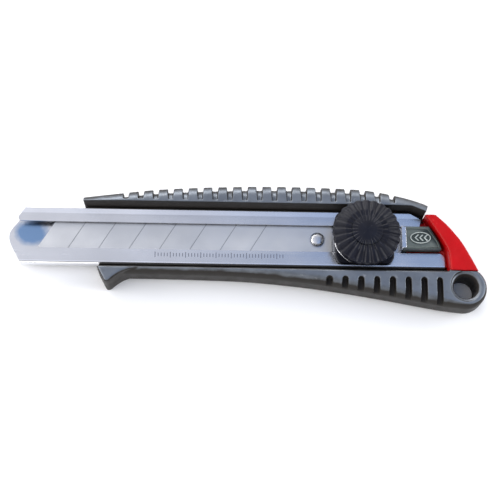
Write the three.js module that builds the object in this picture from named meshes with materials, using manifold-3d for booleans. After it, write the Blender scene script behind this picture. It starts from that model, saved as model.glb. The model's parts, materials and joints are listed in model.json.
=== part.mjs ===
// Screw-lock snap-off cutter, lying flat on its back.
// Millimetres. +X runs from the blade tip to the tail, +Y to the ribbed rail, +Z up, along the knob.
// While it is built, X = 0 is a datum near the middle, Y = 0 the blade channel's centre line and
// Z = 0 the table. The last lines move the whole model so that its origin is the middle of its foot.
import * as THREE from 'three';
import { mergeVertices } from 'three/addons/utils/BufferGeometryUtils.js';
import Module from 'manifold-3d';

const wasm = await Module();
wasm.setup();

// ---- Driving dimensions ------------------------------------------------------------------

// clearances
const SEAT_GAP = 0.1; // between pieces that rest on each other
const RUN_GAP = 0.3; // between pieces that slide or turn past each other
const CUT_MARGIN = 1; // how far a cutting tool runs past what it cuts
const FAR = 200; // further than any edge of the knife

// blade: a standard 18 mm snap-off blade
const BLADE_LENGTH = 100;
const BLADE_WIDTH = 18;
const BLADE_THICK = 0.5;
const BLADE_TIP_X = -72.7; // where the cutting edge starts, blade drawn back
const BLADE_SEGMENTS = 8;
const BLADE_PITCH = 10;
const BLADE_LEAN = 31; // degrees, score lines from square
const BLADE_GRIND = 2.2; // width of the ground edge
const BLADE_EDGE = 0.06; // thickness left at the cutting edge
const SCORE_WIDTH = 0.26;
const SCORE_DEPTH = 0.12;
const BLADE_HOLE_R = 2.6;
const BLADE_HOLE_INSET = 4.8; // from the tail end of the blade

// blade channel: folded stainless sheet
const SHEET = 0.6;
const CHANNEL_SIDE_PLAY = 0.2; // each side of the blade
const CHANNEL_DEPTH = 3.8;
const CHANNEL_BEND_R = 1.1;
const UPPER_LIP = 5.1; // width of each lip, from the channel's outside
const LOWER_LIP = 5.3;
const WEB_NOSE_X = -79.7;
const WEB_NOSE_SLANT = 5.4; // how far the web's lower corner lies behind the nose
const LIP_NOSE_X = -73.8; // upper lip's outer corner
const LIP_NOSE_SLANT = 2.5;
const UPPER_LIP_SLANT = 14.5; // behind the knob's centre, where the upper lip starts to slant
const UPPER_LIP_END = 19.2; // behind the knob's centre, like all the ends below
const LOWER_LIP_END = 26.6;
const LIP_CORNER_R = 2;

// die-cast handle
const BACK_PLATE = 2.2;
const RAIL_HEIGHT = 12.3; // rail fronts above the table
const RAIL_NOSE_X = -54.8;
const RAIL_ROUND = 4.2; // rounding of the rail's outer side
const GRIP_ROUND = 3.6; // rounding of the grip's outer side
const CHANNEL_POCKET_GAP = 0.3;
const GRIP_INNER_SLOPE = 2.3; // how far the grip's inner wall leans back by its front edge
const GUARD_NOSE_X = -49.4;
const GUARD_TIP_X = -46.1;
const GUARD_DROP = 7.2; // guard tip below the pocket's wall
const TOOTH_COUNT = 18;
const FIRST_TOOTH_X = -38.4;
const LAST_TOOTH = 6.6; // behind the knob's centre
const NOTCH_WIDTH = 1.9;
const NOTCH_DEPTH = 1.2;
const NOTCH_FOOT = 0.8; // notches stop this far above the pocket's wall
const SLOT_COUNT = 8;
const FIRST_SLOT = 12; // ahead of the knob's centre
const SLOT_PITCH = 5.1;
const SLOT_WIDTH = 1.9;
const SLOT_DEPTH = 2.7;
const SLOT_TOP = 4.2; // below the pocket's wall
const LUG_TOP = 1.7; // flat top of the tail lug, below the pocket's wall
const LUG_START = 27.2; // behind the knob's centre
const TAIL_R = 7.3; // tail end, round the hang hole
const LUG_TAPER = 4; // degrees, front face falling towards the tail
const LUG_TAPER_START = 21.2; // behind the knob's centre
const HANG_HOLE_BACK = 32.3; // behind the knob's centre
const HANG_HOLE_DROP = 6.8; // below the pocket's wall
const HANG_HOLE_R = 3.9;
const HANG_HOLE_RIM = 1.2;

// rivets that hold the channel
const RIVET_PLACES = [0.138, 0.527, 0.948]; // shares of the way from the rail's nose to the knob
const RIVET_R = 1.5;
const RIVET_HEAD_R = 2.4;
const RIVET_HEAD = 0.8;

// carrier inside the channel
const CARRIER_PLATE = 0.9;
const CARRIER_FRONT = 10.5; // ahead of the blade pin
const CARRIER_BACK = 12.2; // behind the knob's centre
const CARRIER_BLOCK_GAP = 0.8; // behind the blade's tail
const PIN_PLAY = 0.4; // round the pin in the blade's hole
const PIN_CHAMFER = 0.6;
const BOLT_R = 2.5; // M5
const BOLT_HEAD = 9; // square, across flats
const CARRIER_RIVET_R = 1.2;
const CARRIER_RIVET_AHEAD = 2.6; // from the bolt's square head
const CARRIER_RIVET_BEHIND = 3.4;

// slide shoe, washer and knob
const KNOB_BEHIND_BLADE = 10.5; // knob's centre from the blade's tail end
const SHOE_LENGTH = 19.4;
const SHOE_SIDE_GAP = 1.1; // between the shoe's sides and the pocket's walls
const SHOE_THICK = 2.2;
const SHOE_CORNER = 3;
const SHOE_EDGE_ROUND = 0.5;
const SHOE_NECK_INSET = 1; // neck shorter than the shoe at each end
const SHOE_NECK_LAP = 0.8; // how far the neck runs up into the shoe
const SPRING_R = 6.4;
const SPRING_BORE_R = 3.3;
const SPRING_THICK = 0.4;
const WASHER_R = 10.4;
const WASHER_THICK = 0.9;
const KNOB_OVERHANG = 1; // how far the knob reaches over the rails
const KNOB_SKIRT_GAP = 0.9; // between the knob's skirt and the pocket's walls
const KNOB_RIM = 2.3; // thickness of the fluted rim
const KNOB_RISE = 1.1; // from the rim up to the flutes' inner ends
const KNOB_FLUTES = 24;
const KNOB_DOME_R = 5.2;
const KNOB_DOME_RISE = 1;
const KNOB_DOME_FLAT_R = 2.8;
const FLUTE_OUTER_R = 1.05;
const FLUTE_INNER_R = 0.35;
const INSERT_R = 4;
const INSERT_FOOT = 0.8; // knob left below the insert
const INSERT_COVER = 1.2; // knob left above it
const DOME_SEAT = 0.5; // depth of the pocket the dome sits in
const DOME_LEDGE = 0.2; // left round the pocket
const DOME_SHOULDER = 0.3;
const THREAD_GAP = 0.2;

// red end cap and its plug
const CAP_FOOT = 0.5; // underside above the table
const CAP_HEIGHT = 11.1;
const CAP_ROUND = 0.8;
const CAP_TOP = -2.6; // where it meets the rail's hook, from the pocket's wall
const CAP_TONGUE = 14.2; // behind the knob's centre
const PLUG_FRONT = 12.6; // behind the knob's centre
const PLUG_UPPER_GAP = 0.8; // between the plug and the upper lip
const PLUG_LOWER_GAP = 0.6;
const PLUG_RISE = 3; // above the channel's lips
const PLUG_BORDER = 0.8;
const PLUG_RECESS = 0.4;
const CLIP_SHEET = 0.4;
const CLIP_HOOK = 1.1;
const EMBLEM_BACK = 18.4; // behind the knob's centre
const EMBLEM_LENGTH = 6.8;
const EMBLEM_MARGIN = 1.1; // above and below it in the plug's recess
const EMBLEM_CHEVRONS = 3;
const CHEVRON_PITCH = 1.6;
const CHEVRON_SHARE = 0.55; // of the emblem's width
const CHEVRON_STROKE = 0.7;

// ---- Sizes that follow -------------------------------------------------------------------

const channelInner = BLADE_WIDTH / 2 + CHANNEL_SIDE_PLAY;
const channelOuter = channelInner + SHEET;
const webLow = BACK_PLATE + SEAT_GAP;
const webTop = webLow + SHEET;
const lipTop = webLow + CHANNEL_DEPTH;
const lipLow = lipTop - SHEET;
const pocketHalf = channelOuter + CHANNEL_POCKET_GAP;
const upperLipY = channelOuter - UPPER_LIP;
const lowerLipY = LOWER_LIP - channelOuter;
const slotFloor = RAIL_HEIGHT - SLOT_DEPTH;

const plateLow = webTop + RUN_GAP;
const plateTop = plateLow + CARRIER_PLATE;
const bladeLow = plateTop + SEAT_GAP;
const bladeTop = bladeLow + BLADE_THICK;
const blockTop = lipLow - RUN_GAP;
const carrierHalf = channelInner - RUN_GAP;
const bladeTailX = BLADE_TIP_X + BLADE_LENGTH;
const bladeHoleX = bladeTailX - BLADE_HOLE_INSET;
const blockFrontX = bladeTailX + CARRIER_BLOCK_GAP;
const pinR = BLADE_HOLE_R - PIN_PLAY;
const knobX = bladeTailX + KNOB_BEHIND_BLADE;
const carrierFrontX = bladeHoleX - CARRIER_FRONT;

const shoeHalf = pocketHalf - SHOE_SIDE_GAP; // the washer's flats are as far apart as the shoe's sides
const shoeLow = lipTop + RUN_GAP;
const shoeTop = shoeLow + SHOE_THICK;
const springTop = shoeTop + SEAT_GAP + SPRING_THICK;
const washerLow = springTop + SEAT_GAP;
const washerTop = washerLow + WASHER_THICK;
const skirtLow = washerTop + SEAT_GAP;
const knobR = pocketHalf + KNOB_OVERHANG;
const skirtR = pocketHalf - KNOB_SKIRT_GAP;
const rimLow = Math.max(RAIL_HEIGHT, skirtLow) + RUN_GAP + SEAT_GAP;
const rimTop = rimLow + KNOB_RIM;
const domeLow = rimTop + KNOB_RISE;
const plugTop = lipTop + PLUG_RISE;

// Places along the knife: behind the knob's centre, or a share of the way to it from the rail's nose.
function behindKnob(distance) {
  return knobX + distance;
}

function upToKnob(share) {
  return RAIL_NOSE_X + share * (knobX - RAIL_NOSE_X);
}

// Places across it: outwards from the pocket's walls, or a share of the way to the upper wall.
function aboveWall(distance) {
  return pocketHalf + distance;
}

function belowWall(distance) {
  return -pocketHalf - distance;
}

function across(share) {
  return share * pocketHalf;
}

const rivetXs = RIVET_PLACES.map(upToKnob);
const lugTopY = belowWall(LUG_TOP);
const hangHole = [behindKnob(HANG_HOLE_BACK), belowWall(HANG_HOLE_DROP)];
const plugTopY = upperLipY - PLUG_UPPER_GAP;
const plugBottomY = lowerLipY + PLUG_LOWER_GAP;

// The rail ends in a hook over the end cap.
const hookRoot = [behindKnob(15.4), aboveWall(0)];
const hookCorner = [behindKnob(20.1), aboveWall(-1.9)];
const hookEnd = [behindKnob(21.6), aboveWall(1.9)];
const hookUnder = [behindKnob(20.8), aboveWall(-2.2)];
const hookRelief = [behindKnob(18.4), aboveWall(-1.8)];

// ---- Shape helpers -----------------------------------------------------------------------

// A closed three.js geometry becomes a manifold-3d solid.
function solidOf(geometry) {
  const bare = geometry.clone();
  bare.deleteAttribute('normal');
  bare.deleteAttribute('uv');
  const welded = mergeVertices(bare, 1e-5);
  const mesh = new wasm.Mesh({
    numProp: 3,
    vertProperties: new Float32Array(welded.attributes.position.array),
    triVerts: new Uint32Array(welded.index.array),
  });
  return new wasm.Manifold(mesh);
}

function geometryOf(solid) {
  const mesh = solid.getMesh();
  const geometry = new THREE.BufferGeometry();
  geometry.setAttribute('position', new THREE.BufferAttribute(mesh.vertProperties, mesh.numProp));
  geometry.setIndex(new THREE.BufferAttribute(mesh.triVerts, 1));
  geometry.computeVertexNormals();
  return geometry;
}

function joined(first, ...others) {
  return others.reduce((sum, other) => sum.add(other), first);
}

function cutBy(body, ...tools) {
  return tools.reduce((rest, tool) => rest.subtract(tool), body);
}

// A flat outline in X and Y, stood up between two heights.
function plate(shape, low, high, curveSegments = 6) {
  const options = { depth: high - low, bevelEnabled: false, curveSegments };
  const geometry = new THREE.ExtrudeGeometry(shape, options);
  geometry.translate(0, 0, low);
  return solidOf(geometry);
}

// The same with rounded edges; the outline is the widest line, at mid height.
function roundedPlate(shape, low, high, round, roundSteps = 4, curveSegments = 6) {
  const geometry = new THREE.ExtrudeGeometry(shape, {
    depth: high - low - 2 * round,
    bevelEnabled: true,
    bevelThickness: round,
    bevelSize: round,
    bevelOffset: -round,
    bevelSegments: roundSteps,
    curveSegments,
  });
  geometry.translate(0, 0, low + round);
  return solidOf(geometry);
}

// A section drawn in Y and Z, run along X.
function bar(section, fromX, toX, curveSegments = 4) {
  const options = { depth: toX - fromX, bevelEnabled: false, curveSegments };
  const geometry = new THREE.ExtrudeGeometry(section, options);
  geometry.applyMatrix4(new THREE.Matrix4().set(0, 0, 1, 0, 1, 0, 0, 0, 0, 1, 0, 0, 0, 0, 0, 1));
  geometry.translate(fromX, 0, 0);
  return solidOf(geometry);
}

function box(lowX, highX, lowY, highY, lowZ, highZ) {
  const geometry = new THREE.BoxGeometry(highX - lowX, highY - lowY, highZ - lowZ);
  geometry.translate((lowX + highX) / 2, (lowY + highY) / 2, (lowZ + highZ) / 2);
  return solidOf(geometry);
}

function drum(x, y, radius, low, high, segments = 28) {
  const geometry = new THREE.CylinderGeometry(radius, radius, high - low, segments);
  geometry.rotateX(Math.PI / 2);
  geometry.translate(x, y, (low + high) / 2);
  return solidOf(geometry);
}

// A profile of [radius, height] points, from the axis at the bottom to the axis at the top,
// turned about a vertical axis at x, y.
function turned(x, y, profile, segments = 32) {
  const points = profile.map(([radius, height]) => new THREE.Vector2(radius, height));
  const geometry = new THREE.LatheGeometry(points, segments);
  geometry.rotateX(Math.PI / 2);
  geometry.translate(x, y, 0);
  return solidOf(geometry);
}

function polygon(points) {
  return new THREE.Shape(points.map(([x, y]) => new THREE.Vector2(x, y)));
}

function splinePoints(points) {
  return points.map(([x, y]) => new THREE.Vector2(x, y));
}

function roundedBox(lowX, highX, lowY, highY, corner) {
  const shape = new THREE.Shape();
  shape.moveTo(lowX + corner, lowY);
  shape.lineTo(highX - corner, lowY);
  shape.absarc(highX - corner, lowY + corner, corner, -Math.PI / 2, 0);
  shape.lineTo(highX, highY - corner);
  shape.absarc(highX - corner, highY - corner, corner, 0, Math.PI / 2);
  shape.lineTo(lowX + corner, highY);
  shape.absarc(lowX + corner, highY - corner, corner, Math.PI / 2, Math.PI);
  shape.lineTo(lowX, lowY + corner);
  shape.absarc(lowX + corner, lowY + corner, corner, Math.PI, 1.5 * Math.PI);
  return shape;
}

function series(count, valueAt) {
  return Array.from({ length: count }, (_, index) => valueAt(index));
}

// ---- Materials ---------------------------------------------------------------------------

function finish(color, roughness, metalness) {
  return new THREE.MeshStandardMaterial({ color, roughness, metalness });
}

const castPaint = finish(0x565d66, 0.5, 0.35);
const stainless = finish(0xc9cad6, 0.22, 1);
const bladeSteel = finish(0xb9bcc4, 0.35, 1);
const zincSteel = finish(0xb4b6ba, 0.35, 1);
const brass = finish(0xb08d4a, 0.35, 1);
const blackPlastic = finish(0x1c2028, 0.55, 0);
const redPlastic = finish(0xc21016, 0.35, 0);
const darkPlastic = finish(0x1d2a28, 0.5, 0);
const emblemPaint = finish(0xa9b3ae, 0.5, 0.2);

const knife = new THREE.Group();

function addPiece(name, solid, material) {
  const mesh = new THREE.Mesh(geometryOf(solid), material.clone());
  mesh.name = name;
  knife.add(mesh);
}

// ---- Tail line: where the channel and casting stop and the end cap begins ------------------

// Runs from the rail's hook down to the lug, moved along X by `shift`.
function tailLine(shift) {
  const line = [
    [behindKnob(19.8), across(0.693)],
    [behindKnob(22.2), across(0.337)],
    [behindKnob(25.1), across(-0.139)],
    [behindKnob(26.9), across(-0.554)],
    [behindKnob(27.3), lugTopY],
  ];
  return line.map(([x, y]) => [x + shift, y]);
}

// ---- Handle casting ----------------------------------------------------------------------

function railCrest() {
  return splinePoints([
    [RAIL_NOSE_X, aboveWall(2)],
    [upToKnob(0.129), aboveWall(3.6)],
    [upToKnob(0.271), aboveWall(5.2)],
    [upToKnob(0.485), aboveWall(6.4)],
    [upToKnob(0.699), aboveWall(6.9)],
    [upToKnob(0.913), aboveWall(6.6)],
    [behindKnob(2.2), aboveWall(5.9)],
    [behindKnob(11.7), aboveWall(4.1)],
    [behindKnob(18.3), aboveWall(2.2)],
    [behindKnob(22.2), aboveWall(0.3)],
    [behindKnob(28.2), aboveWall(-5.1)],
  ]);
}

// The rail runs past both ends here; ribbedRail() trims it.
function railShape() {
  const crest = railCrest();
  const startX = RAIL_NOSE_X - 3 * RAIL_ROUND;
  const shape = new THREE.Shape();
  shape.moveTo(startX, across(-0.6));
  shape.lineTo(startX, aboveWall(0.4));
  shape.lineTo(crest[0].x, crest[0].y);
  shape.splineThru(crest.slice(1));
  shape.lineTo(behindKnob(34.2), across(-0.6));
  return shape;
}

function railNotches() {
  const pitch = (behindKnob(LAST_TOOTH) - FIRST_TOOTH_X) / (TOOTH_COUNT - 1);
  const firstX = FIRST_TOOTH_X - pitch / 2;
  return series(TOOTH_COUNT + 1, (index) => {
    const middle = firstX + index * pitch;
    const half = NOTCH_WIDTH / 2;
    const flare = NOTCH_WIDTH / 6;
    const foot = aboveWall(NOTCH_FOOT);
    const crest = aboveWall(2 * NOTCH_DEPTH);
    const above = crest + 2 * RAIL_ROUND;
    const profile = polygon([
      [middle - half, foot],
      [middle + half, foot],
      [middle + half, crest],
      [middle + half + flare, above],
      [middle - half - flare, above],
      [middle - half, crest],
    ]);
    return plate(profile, -CUT_MARGIN, RAIL_HEIGHT + CUT_MARGIN);
  });
}

function ribbedRail() {
  const full = roundedPlate(railShape(), 0, RAIL_HEIGHT, RAIL_ROUND, 4, 2);
  const notches = cutBy(joined(...railNotches()), railCore());
  const noseCut = box(-FAR, RAIL_NOSE_X, -FAR, FAR, -FAR, FAR);
  const hook = polygon([
    hookEnd,
    hookCorner,
    hookRoot,
    [hookRoot[0], -FAR],
    [FAR, -FAR],
    [FAR, hookEnd[1]],
  ]);
  return cutBy(full, notches, noseCut, plate(hook, -FAR, FAR));
}

// What the notches leave standing: the rail, NOTCH_DEPTH smaller on every side.
function railCore() {
  const round = RAIL_ROUND - NOTCH_DEPTH / 2;
  const options = {
    depth: RAIL_HEIGHT - 2 * NOTCH_DEPTH - 2 * round,
    bevelEnabled: true,
    bevelThickness: round,
    bevelSize: round,
    bevelOffset: -round - NOTCH_DEPTH,
    bevelSegments: 4,
    curveSegments: 2,
  };
  const core = new THREE.ExtrudeGeometry(railShape(), options);
  core.translate(0, 0, NOTCH_DEPTH + round);
  return solidOf(core);
}

function gripShape() {
  const startX = GUARD_NOSE_X - 3 * GRIP_ROUND;
  const shape = new THREE.Shape();
  shape.moveTo(startX, across(-0.4));
  shape.lineTo(startX, belowWall(3.8));
  shape.lineTo(upToKnob(0.225), belowWall(3.8));
  shape.splineThru(splinePoints([
    [upToKnob(0.414), belowWall(4)],
    [upToKnob(0.592), belowWall(4.5)],
    [upToKnob(0.77), belowWall(5.9)],
    [upToKnob(0.913), belowWall(7.6)],
    [behindKnob(5.2), belowWall(9.7)],
    [behindKnob(18.2), belowWall(12)],
    [behindKnob(25.2), belowWall(13.2)],
  ]));
  const [x, y] = hangHole;
  shape.absarc(x, y, TAIL_R, THREE.MathUtils.degToRad(-100), THREE.MathUtils.degToRad(45));
  shape.lineTo(behindKnob(28.2), across(-0.4));
  return shape;
}

// The finger guard: a wedge that hangs below the grip, with a hollow curve behind its tip.
function fingerGuard() {
  const x = GUARD_TIP_X;
  const y = belowWall(GUARD_DROP);
  const shape = new THREE.Shape();
  shape.moveTo(GUARD_NOSE_X, across(-0.5));
  shape.lineTo(GUARD_NOSE_X, y + 5.1);
  shape.lineTo(x - 0.9, y + 0.6);
  shape.quadraticCurveTo(x - 0.2, y - 0.4, x + 1, y + 0.4);
  shape.bezierCurveTo(x + 3.5, y + 2.7, x + 5.1, y + 4, x + 10.1, y + 4.9);
  shape.lineTo(x + 10.1, across(-0.5));
  return roundedPlate(shape, 0, RAIL_HEIGHT, 0.8, 2, 5);
}

function gripSlots() {
  return series(SLOT_COUNT, (index) => {
    const middle = behindKnob(index * SLOT_PITCH - FIRST_SLOT);
    const half = SLOT_WIDTH / 2;
    const top = belowWall(SLOT_TOP) - half;
    const shape = new THREE.Shape();
    shape.moveTo(middle + half, -FAR);
    shape.lineTo(middle + half, top);
    shape.absarc(middle, top, half, 0, Math.PI);
    shape.lineTo(middle - half, -FAR);
    return plate(shape, slotFloor, RAIL_HEIGHT + CUT_MARGIN, 5);
  });
}

// Widens at both faces of the lug, whose front falls towards the tail.
function hangHoleTool() {
  const [x, y] = hangHole;
  const mouth = HANG_HOLE_R + HANG_HOLE_RIM;
  const waist = HANG_HOLE_R + HANG_HOLE_RIM / 4;
  const fall = Math.tan(THREE.MathUtils.degToRad(LUG_TAPER));
  const front = RAIL_HEIGHT - fall * (x + mouth - behindKnob(LUG_TAPER_START));
  return turned(x, y, [
    [0, -CUT_MARGIN],
    [mouth, -CUT_MARGIN],
    [mouth, 0],
    [waist, HANG_HOLE_RIM * 0.6],
    [HANG_HOLE_R, HANG_HOLE_RIM],
    [HANG_HOLE_R, front - HANG_HOLE_RIM],
    [waist, front - HANG_HOLE_RIM * 0.6],
    [mouth, front],
    [mouth, RAIL_HEIGHT + CUT_MARGIN],
    [0, RAIL_HEIGHT + CUT_MARGIN],
  ]);
}

// Everything that must stay free above the back plate: the channel's seat, and the space between
// the rails where the slide runs. It leaves the rail's hook standing.
function seatTool() {
  const leaning = belowWall(GRIP_INNER_SLOPE);
  const section = polygon([
    [belowWall(0), BACK_PLATE],
    [aboveWall(0), BACK_PLATE],
    [aboveWall(0), FAR],
    [leaning, FAR],
    [leaning, RAIL_HEIGHT],
    [belowWall(0), lipLow],
  ]);
  const hook = polygon([hookRoot, hookUnder, [FAR, aboveWall(-4.1)], [FAR, FAR], [hookRoot[0], FAR]]);
  return cutBy(bar(section, -FAR, behindKnob(LUG_START)), plate(hook, -FAR, FAR));
}

// The end cap's bay goes right through the handle.
function bayTool() {
  const outline = [...tailLine(0), [FAR, lugTopY], [FAR, aboveWall(-4.1)], hookUnder, hookRelief];
  return plate(polygon(outline), -FAR, FAR);
}

function backPlate() {
  const outline = [
    [GUARD_NOSE_X, belowWall(1.9)],
    [behindKnob(28.2), belowWall(1.9)],
    [behindKnob(28.2), across(-0.4)],
    [behindKnob(19.2), aboveWall(1.4)],
    [RAIL_NOSE_X + 1, aboveWall(1.4)],
  ];
  return plate(polygon(outline), 0, BACK_PLATE);
}

// Everything in front of the lug's falling face.
function lugTaperTool() {
  const wedge = new THREE.BoxGeometry(FAR, FAR, FAR);
  wedge.translate(FAR / 2, 0, FAR / 2);
  wedge.rotateY(THREE.MathUtils.degToRad(LUG_TAPER));
  wedge.translate(behindKnob(LUG_TAPER_START), 0, RAIL_HEIGHT);
  return solidOf(wedge);
}

function handleCasting() {
  const grip = roundedPlate(gripShape(), 0, RAIL_HEIGHT, GRIP_ROUND, 4, 3);
  const gripNose = box(-FAR, GUARD_NOSE_X + 1, -FAR, 0, -FAR, FAR);
  const body = joined(ribbedRail(), cutBy(grip, gripNose), fingerGuard(), backPlate());
  const rivetHoles = rivetXs.map((x) => rivetSolid(x, CHANNEL_POCKET_GAP / 2, true));
  const tools = [seatTool(), bayTool(), lugTaperTool(), hangHoleTool(), ...gripSlots(), ...rivetHoles];
  return cutBy(body, ...tools);
}

// ---- Blade channel -----------------------------------------------------------------------

function channelSection() {
  const shape = new THREE.Shape();
  const outer = channelOuter;
  const inner = channelInner;
  const bend = CHANNEL_BEND_R;
  const tight = CHANNEL_BEND_R - SHEET;
  shape.moveTo(outer - bend, webLow);
  shape.absarc(outer - bend, webLow + bend, bend, -Math.PI / 2, 0);
  shape.absarc(outer - bend, lipTop - bend, bend, 0, Math.PI / 2);
  shape.lineTo(upperLipY, lipTop);
  shape.lineTo(upperLipY, lipLow);
  shape.lineTo(inner - tight, lipLow);
  shape.absarc(inner - tight, lipLow - tight, tight, Math.PI / 2, 0, true);
  shape.absarc(inner - tight, webTop + tight, tight, 0, -Math.PI / 2, true);
  shape.lineTo(-inner + tight, webTop);
  shape.absarc(-inner + tight, webTop + tight, tight, -Math.PI / 2, -Math.PI, true);
  shape.absarc(-inner + tight, lipLow - tight, tight, Math.PI, Math.PI / 2, true);
  shape.lineTo(lowerLipY, lipLow);
  shape.lineTo(lowerLipY, lipTop);
  shape.lineTo(-outer + bend, lipTop);
  shape.absarc(-outer + bend, lipTop - bend, bend, Math.PI / 2, Math.PI);
  shape.absarc(-outer + bend, webLow + bend, bend, Math.PI, 1.5 * Math.PI);
  return shape;
}

// The web runs out to a blunt point and is cut along the tail line.
function webOutline() {
  const edge = channelOuter + CUT_MARGIN;
  const shape = new THREE.Shape();
  shape.moveTo(WEB_NOSE_X + WEB_NOSE_SLANT, -edge);
  shape.lineTo(WEB_NOSE_X + 1.1, -3.4);
  shape.quadraticCurveTo(WEB_NOSE_X - 0.8, 0.2, WEB_NOSE_X + 0.8, 2.6);
  shape.lineTo(LIP_NOSE_X - LIP_NOSE_SLANT, upperLipY + 1.4);
  shape.lineTo(LIP_NOSE_X + 0.6, edge);
  shape.lineTo(behindKnob(UPPER_LIP_SLANT), edge);
  tailLine(-2 * RUN_GAP).forEach(([x, y]) => shape.lineTo(x, y));
  return shape;
}

// The lips start behind the web's point; the upper one ends in a slant, the lower one in a round.
function lipsOutline() {
  const edge = channelOuter + CUT_MARGIN;
  const openX = LIP_NOSE_X - 1.6;
  const slantX = behindKnob(UPPER_LIP_SLANT);
  const upperX = behindKnob(UPPER_LIP_END);
  const lowerX = behindKnob(LOWER_LIP_END);
  const round = LIP_CORNER_R;
  const shape = new THREE.Shape();
  shape.moveTo(WEB_NOSE_X + WEB_NOSE_SLANT, -edge);
  shape.lineTo(WEB_NOSE_X + 1.1, -3.4);
  shape.lineTo(openX, 0);
  shape.lineTo(openX, upperLipY);
  shape.quadraticCurveTo(openX - 1.3, upperLipY + 0.3, LIP_NOSE_X - LIP_NOSE_SLANT, upperLipY + 1.6);
  shape.lineTo(LIP_NOSE_X + 0.6, edge);
  shape.lineTo(slantX - 1, edge);
  shape.lineTo(slantX, channelOuter);
  shape.lineTo(upperX, upperLipY + 2.5);
  shape.lineTo(upperX - 0.6, upperLipY - 0.2);
  shape.lineTo(upperX - 0.6, 0);
  shape.lineTo(lowerX - round, 0);
  shape.lineTo(lowerX - round, lowerLipY);
  shape.absarc(lowerX - round, lowerLipY - round, round, Math.PI / 2, 0, true);
  shape.lineTo(lowerX, -edge);
  return shape;
}

function bladeChannel() {
  const folded = bar(channelSection(), -FAR, FAR);
  const middle = webTop + SEAT_GAP;
  const outline = joined(plate(webOutline(), 0, middle), plate(lipsOutline(), middle, lipTop + CUT_MARGIN));
  const holes = rivetXs.map((x) => rivetSolid(x, CHANNEL_POCKET_GAP / 2, true));
  return cutBy(folded.intersect(outline), ...holes);
}

// Countersunk in the channel's web, headed in a counterbore in the casting's back.
function rivetSolid(x, play, asTool) {
  const low = asTool ? -CUT_MARGIN : SEAT_GAP;
  const headTop = RIVET_HEAD + play;
  const sink = SHEET * 0.9;
  const profile = [
    [0, low],
    [RIVET_HEAD_R + play, low],
    [RIVET_HEAD_R + play, headTop],
    [RIVET_R + play, headTop],
    [RIVET_R + play, webTop - sink],
    [RIVET_R + sink + play, webTop],
  ];
  if (asTool) {
    profile.push([RIVET_R + sink + play, webTop + CUT_MARGIN], [0, webTop + CUT_MARGIN]);
  } else {
    profile.push([0, webTop]);
  }
  return turned(x, 0, profile, 24);
}

// ---- Blade -------------------------------------------------------------------------------

function snapBlade() {
  const half = BLADE_WIDTH / 2;
  const lean = Math.tan(THREE.MathUtils.degToRad(BLADE_LEAN));
  const middle = (bladeLow + bladeTop) / 2;
  const section = polygon([
    [-half, middle - BLADE_EDGE / 2],
    [-half + BLADE_GRIND, bladeLow],
    [half, bladeLow],
    [half, bladeTop],
    [-half + BLADE_GRIND, bladeTop],
    [-half, middle + BLADE_EDGE / 2],
  ]);
  const stock = bar(section, -FAR, FAR);
  const outline = polygon([
    [BLADE_TIP_X, -half - CUT_MARGIN],
    [bladeTailX, -half - CUT_MARGIN],
    [bladeTailX, half + CUT_MARGIN],
    [BLADE_TIP_X + lean * (BLADE_WIDTH + CUT_MARGIN), half + CUT_MARGIN],
    [BLADE_TIP_X, -half],
  ]);
  const blank = stock.intersect(plate(outline, bladeLow - CUT_MARGIN, bladeTop + CUT_MARGIN));
  const scores = series(BLADE_SEGMENTS - 1, (index) => {
    const footX = BLADE_TIP_X + (index + 1) * BLADE_PITCH - lean * CUT_MARGIN;
    const topX = footX + lean * (BLADE_WIDTH + 2 * CUT_MARGIN);
    const line = polygon([
      [footX - SCORE_WIDTH / 2, -half - CUT_MARGIN],
      [footX + SCORE_WIDTH / 2, -half - CUT_MARGIN],
      [topX + SCORE_WIDTH / 2, half + CUT_MARGIN],
      [topX - SCORE_WIDTH / 2, half + CUT_MARGIN],
    ]);
    return plate(line, bladeTop - SCORE_DEPTH, bladeTop + CUT_MARGIN);
  });
  const hole = drum(bladeHoleX, 0, BLADE_HOLE_R, bladeLow - CUT_MARGIN, bladeTop + CUT_MARGIN, 24);
  return cutBy(blank, hole, ...scores);
}

// ---- Carrier -----------------------------------------------------------------------------

const carrierRivetXs = [
  knobX - BOLT_HEAD / 2 - CARRIER_RIVET_AHEAD,
  knobX + BOLT_HEAD / 2 + CARRIER_RIVET_BEHIND,
];

// A plate over the channel's width with holes for the rivets.
function carrierPart(frontX, corner, low, high, middleHole) {
  const outline = roundedBox(frontX, behindKnob(CARRIER_BACK), -carrierHalf, carrierHalf, corner);
  const holes = carrierRivetXs.map((x) => {
    return drum(x, 0, CARRIER_RIVET_R + SEAT_GAP, low - CUT_MARGIN, high + CUT_MARGIN, 20);
  });
  return cutBy(plate(outline, low, high, 3), middleHole, ...holes);
}

function carrierPlate() {
  const half = BOLT_HEAD / 2 + SEAT_GAP;
  const head = box(knobX - half, knobX + half, -half, half, -FAR, FAR);
  return carrierPart(carrierFrontX, 2, plateLow, plateTop, head);
}

function carrierBlock() {
  const bolt = drum(knobX, 0, BOLT_R + SEAT_GAP, -FAR, FAR, 24);
  return carrierPart(blockFrontX, 1.5, plateTop + SEAT_GAP, blockTop, bolt);
}

function bladePin() {
  const foot = plateTop + SEAT_GAP / 2;
  const top = lipTop - SEAT_GAP;
  return turned(bladeHoleX, 0, [
    [0, foot],
    [pinR, foot],
    [pinR, top - PIN_CHAMFER],
    [pinR * 0.8, top - PIN_CHAMFER / 3],
    [pinR * 0.4, top],
    [0, top],
  ], 24);
}

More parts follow.
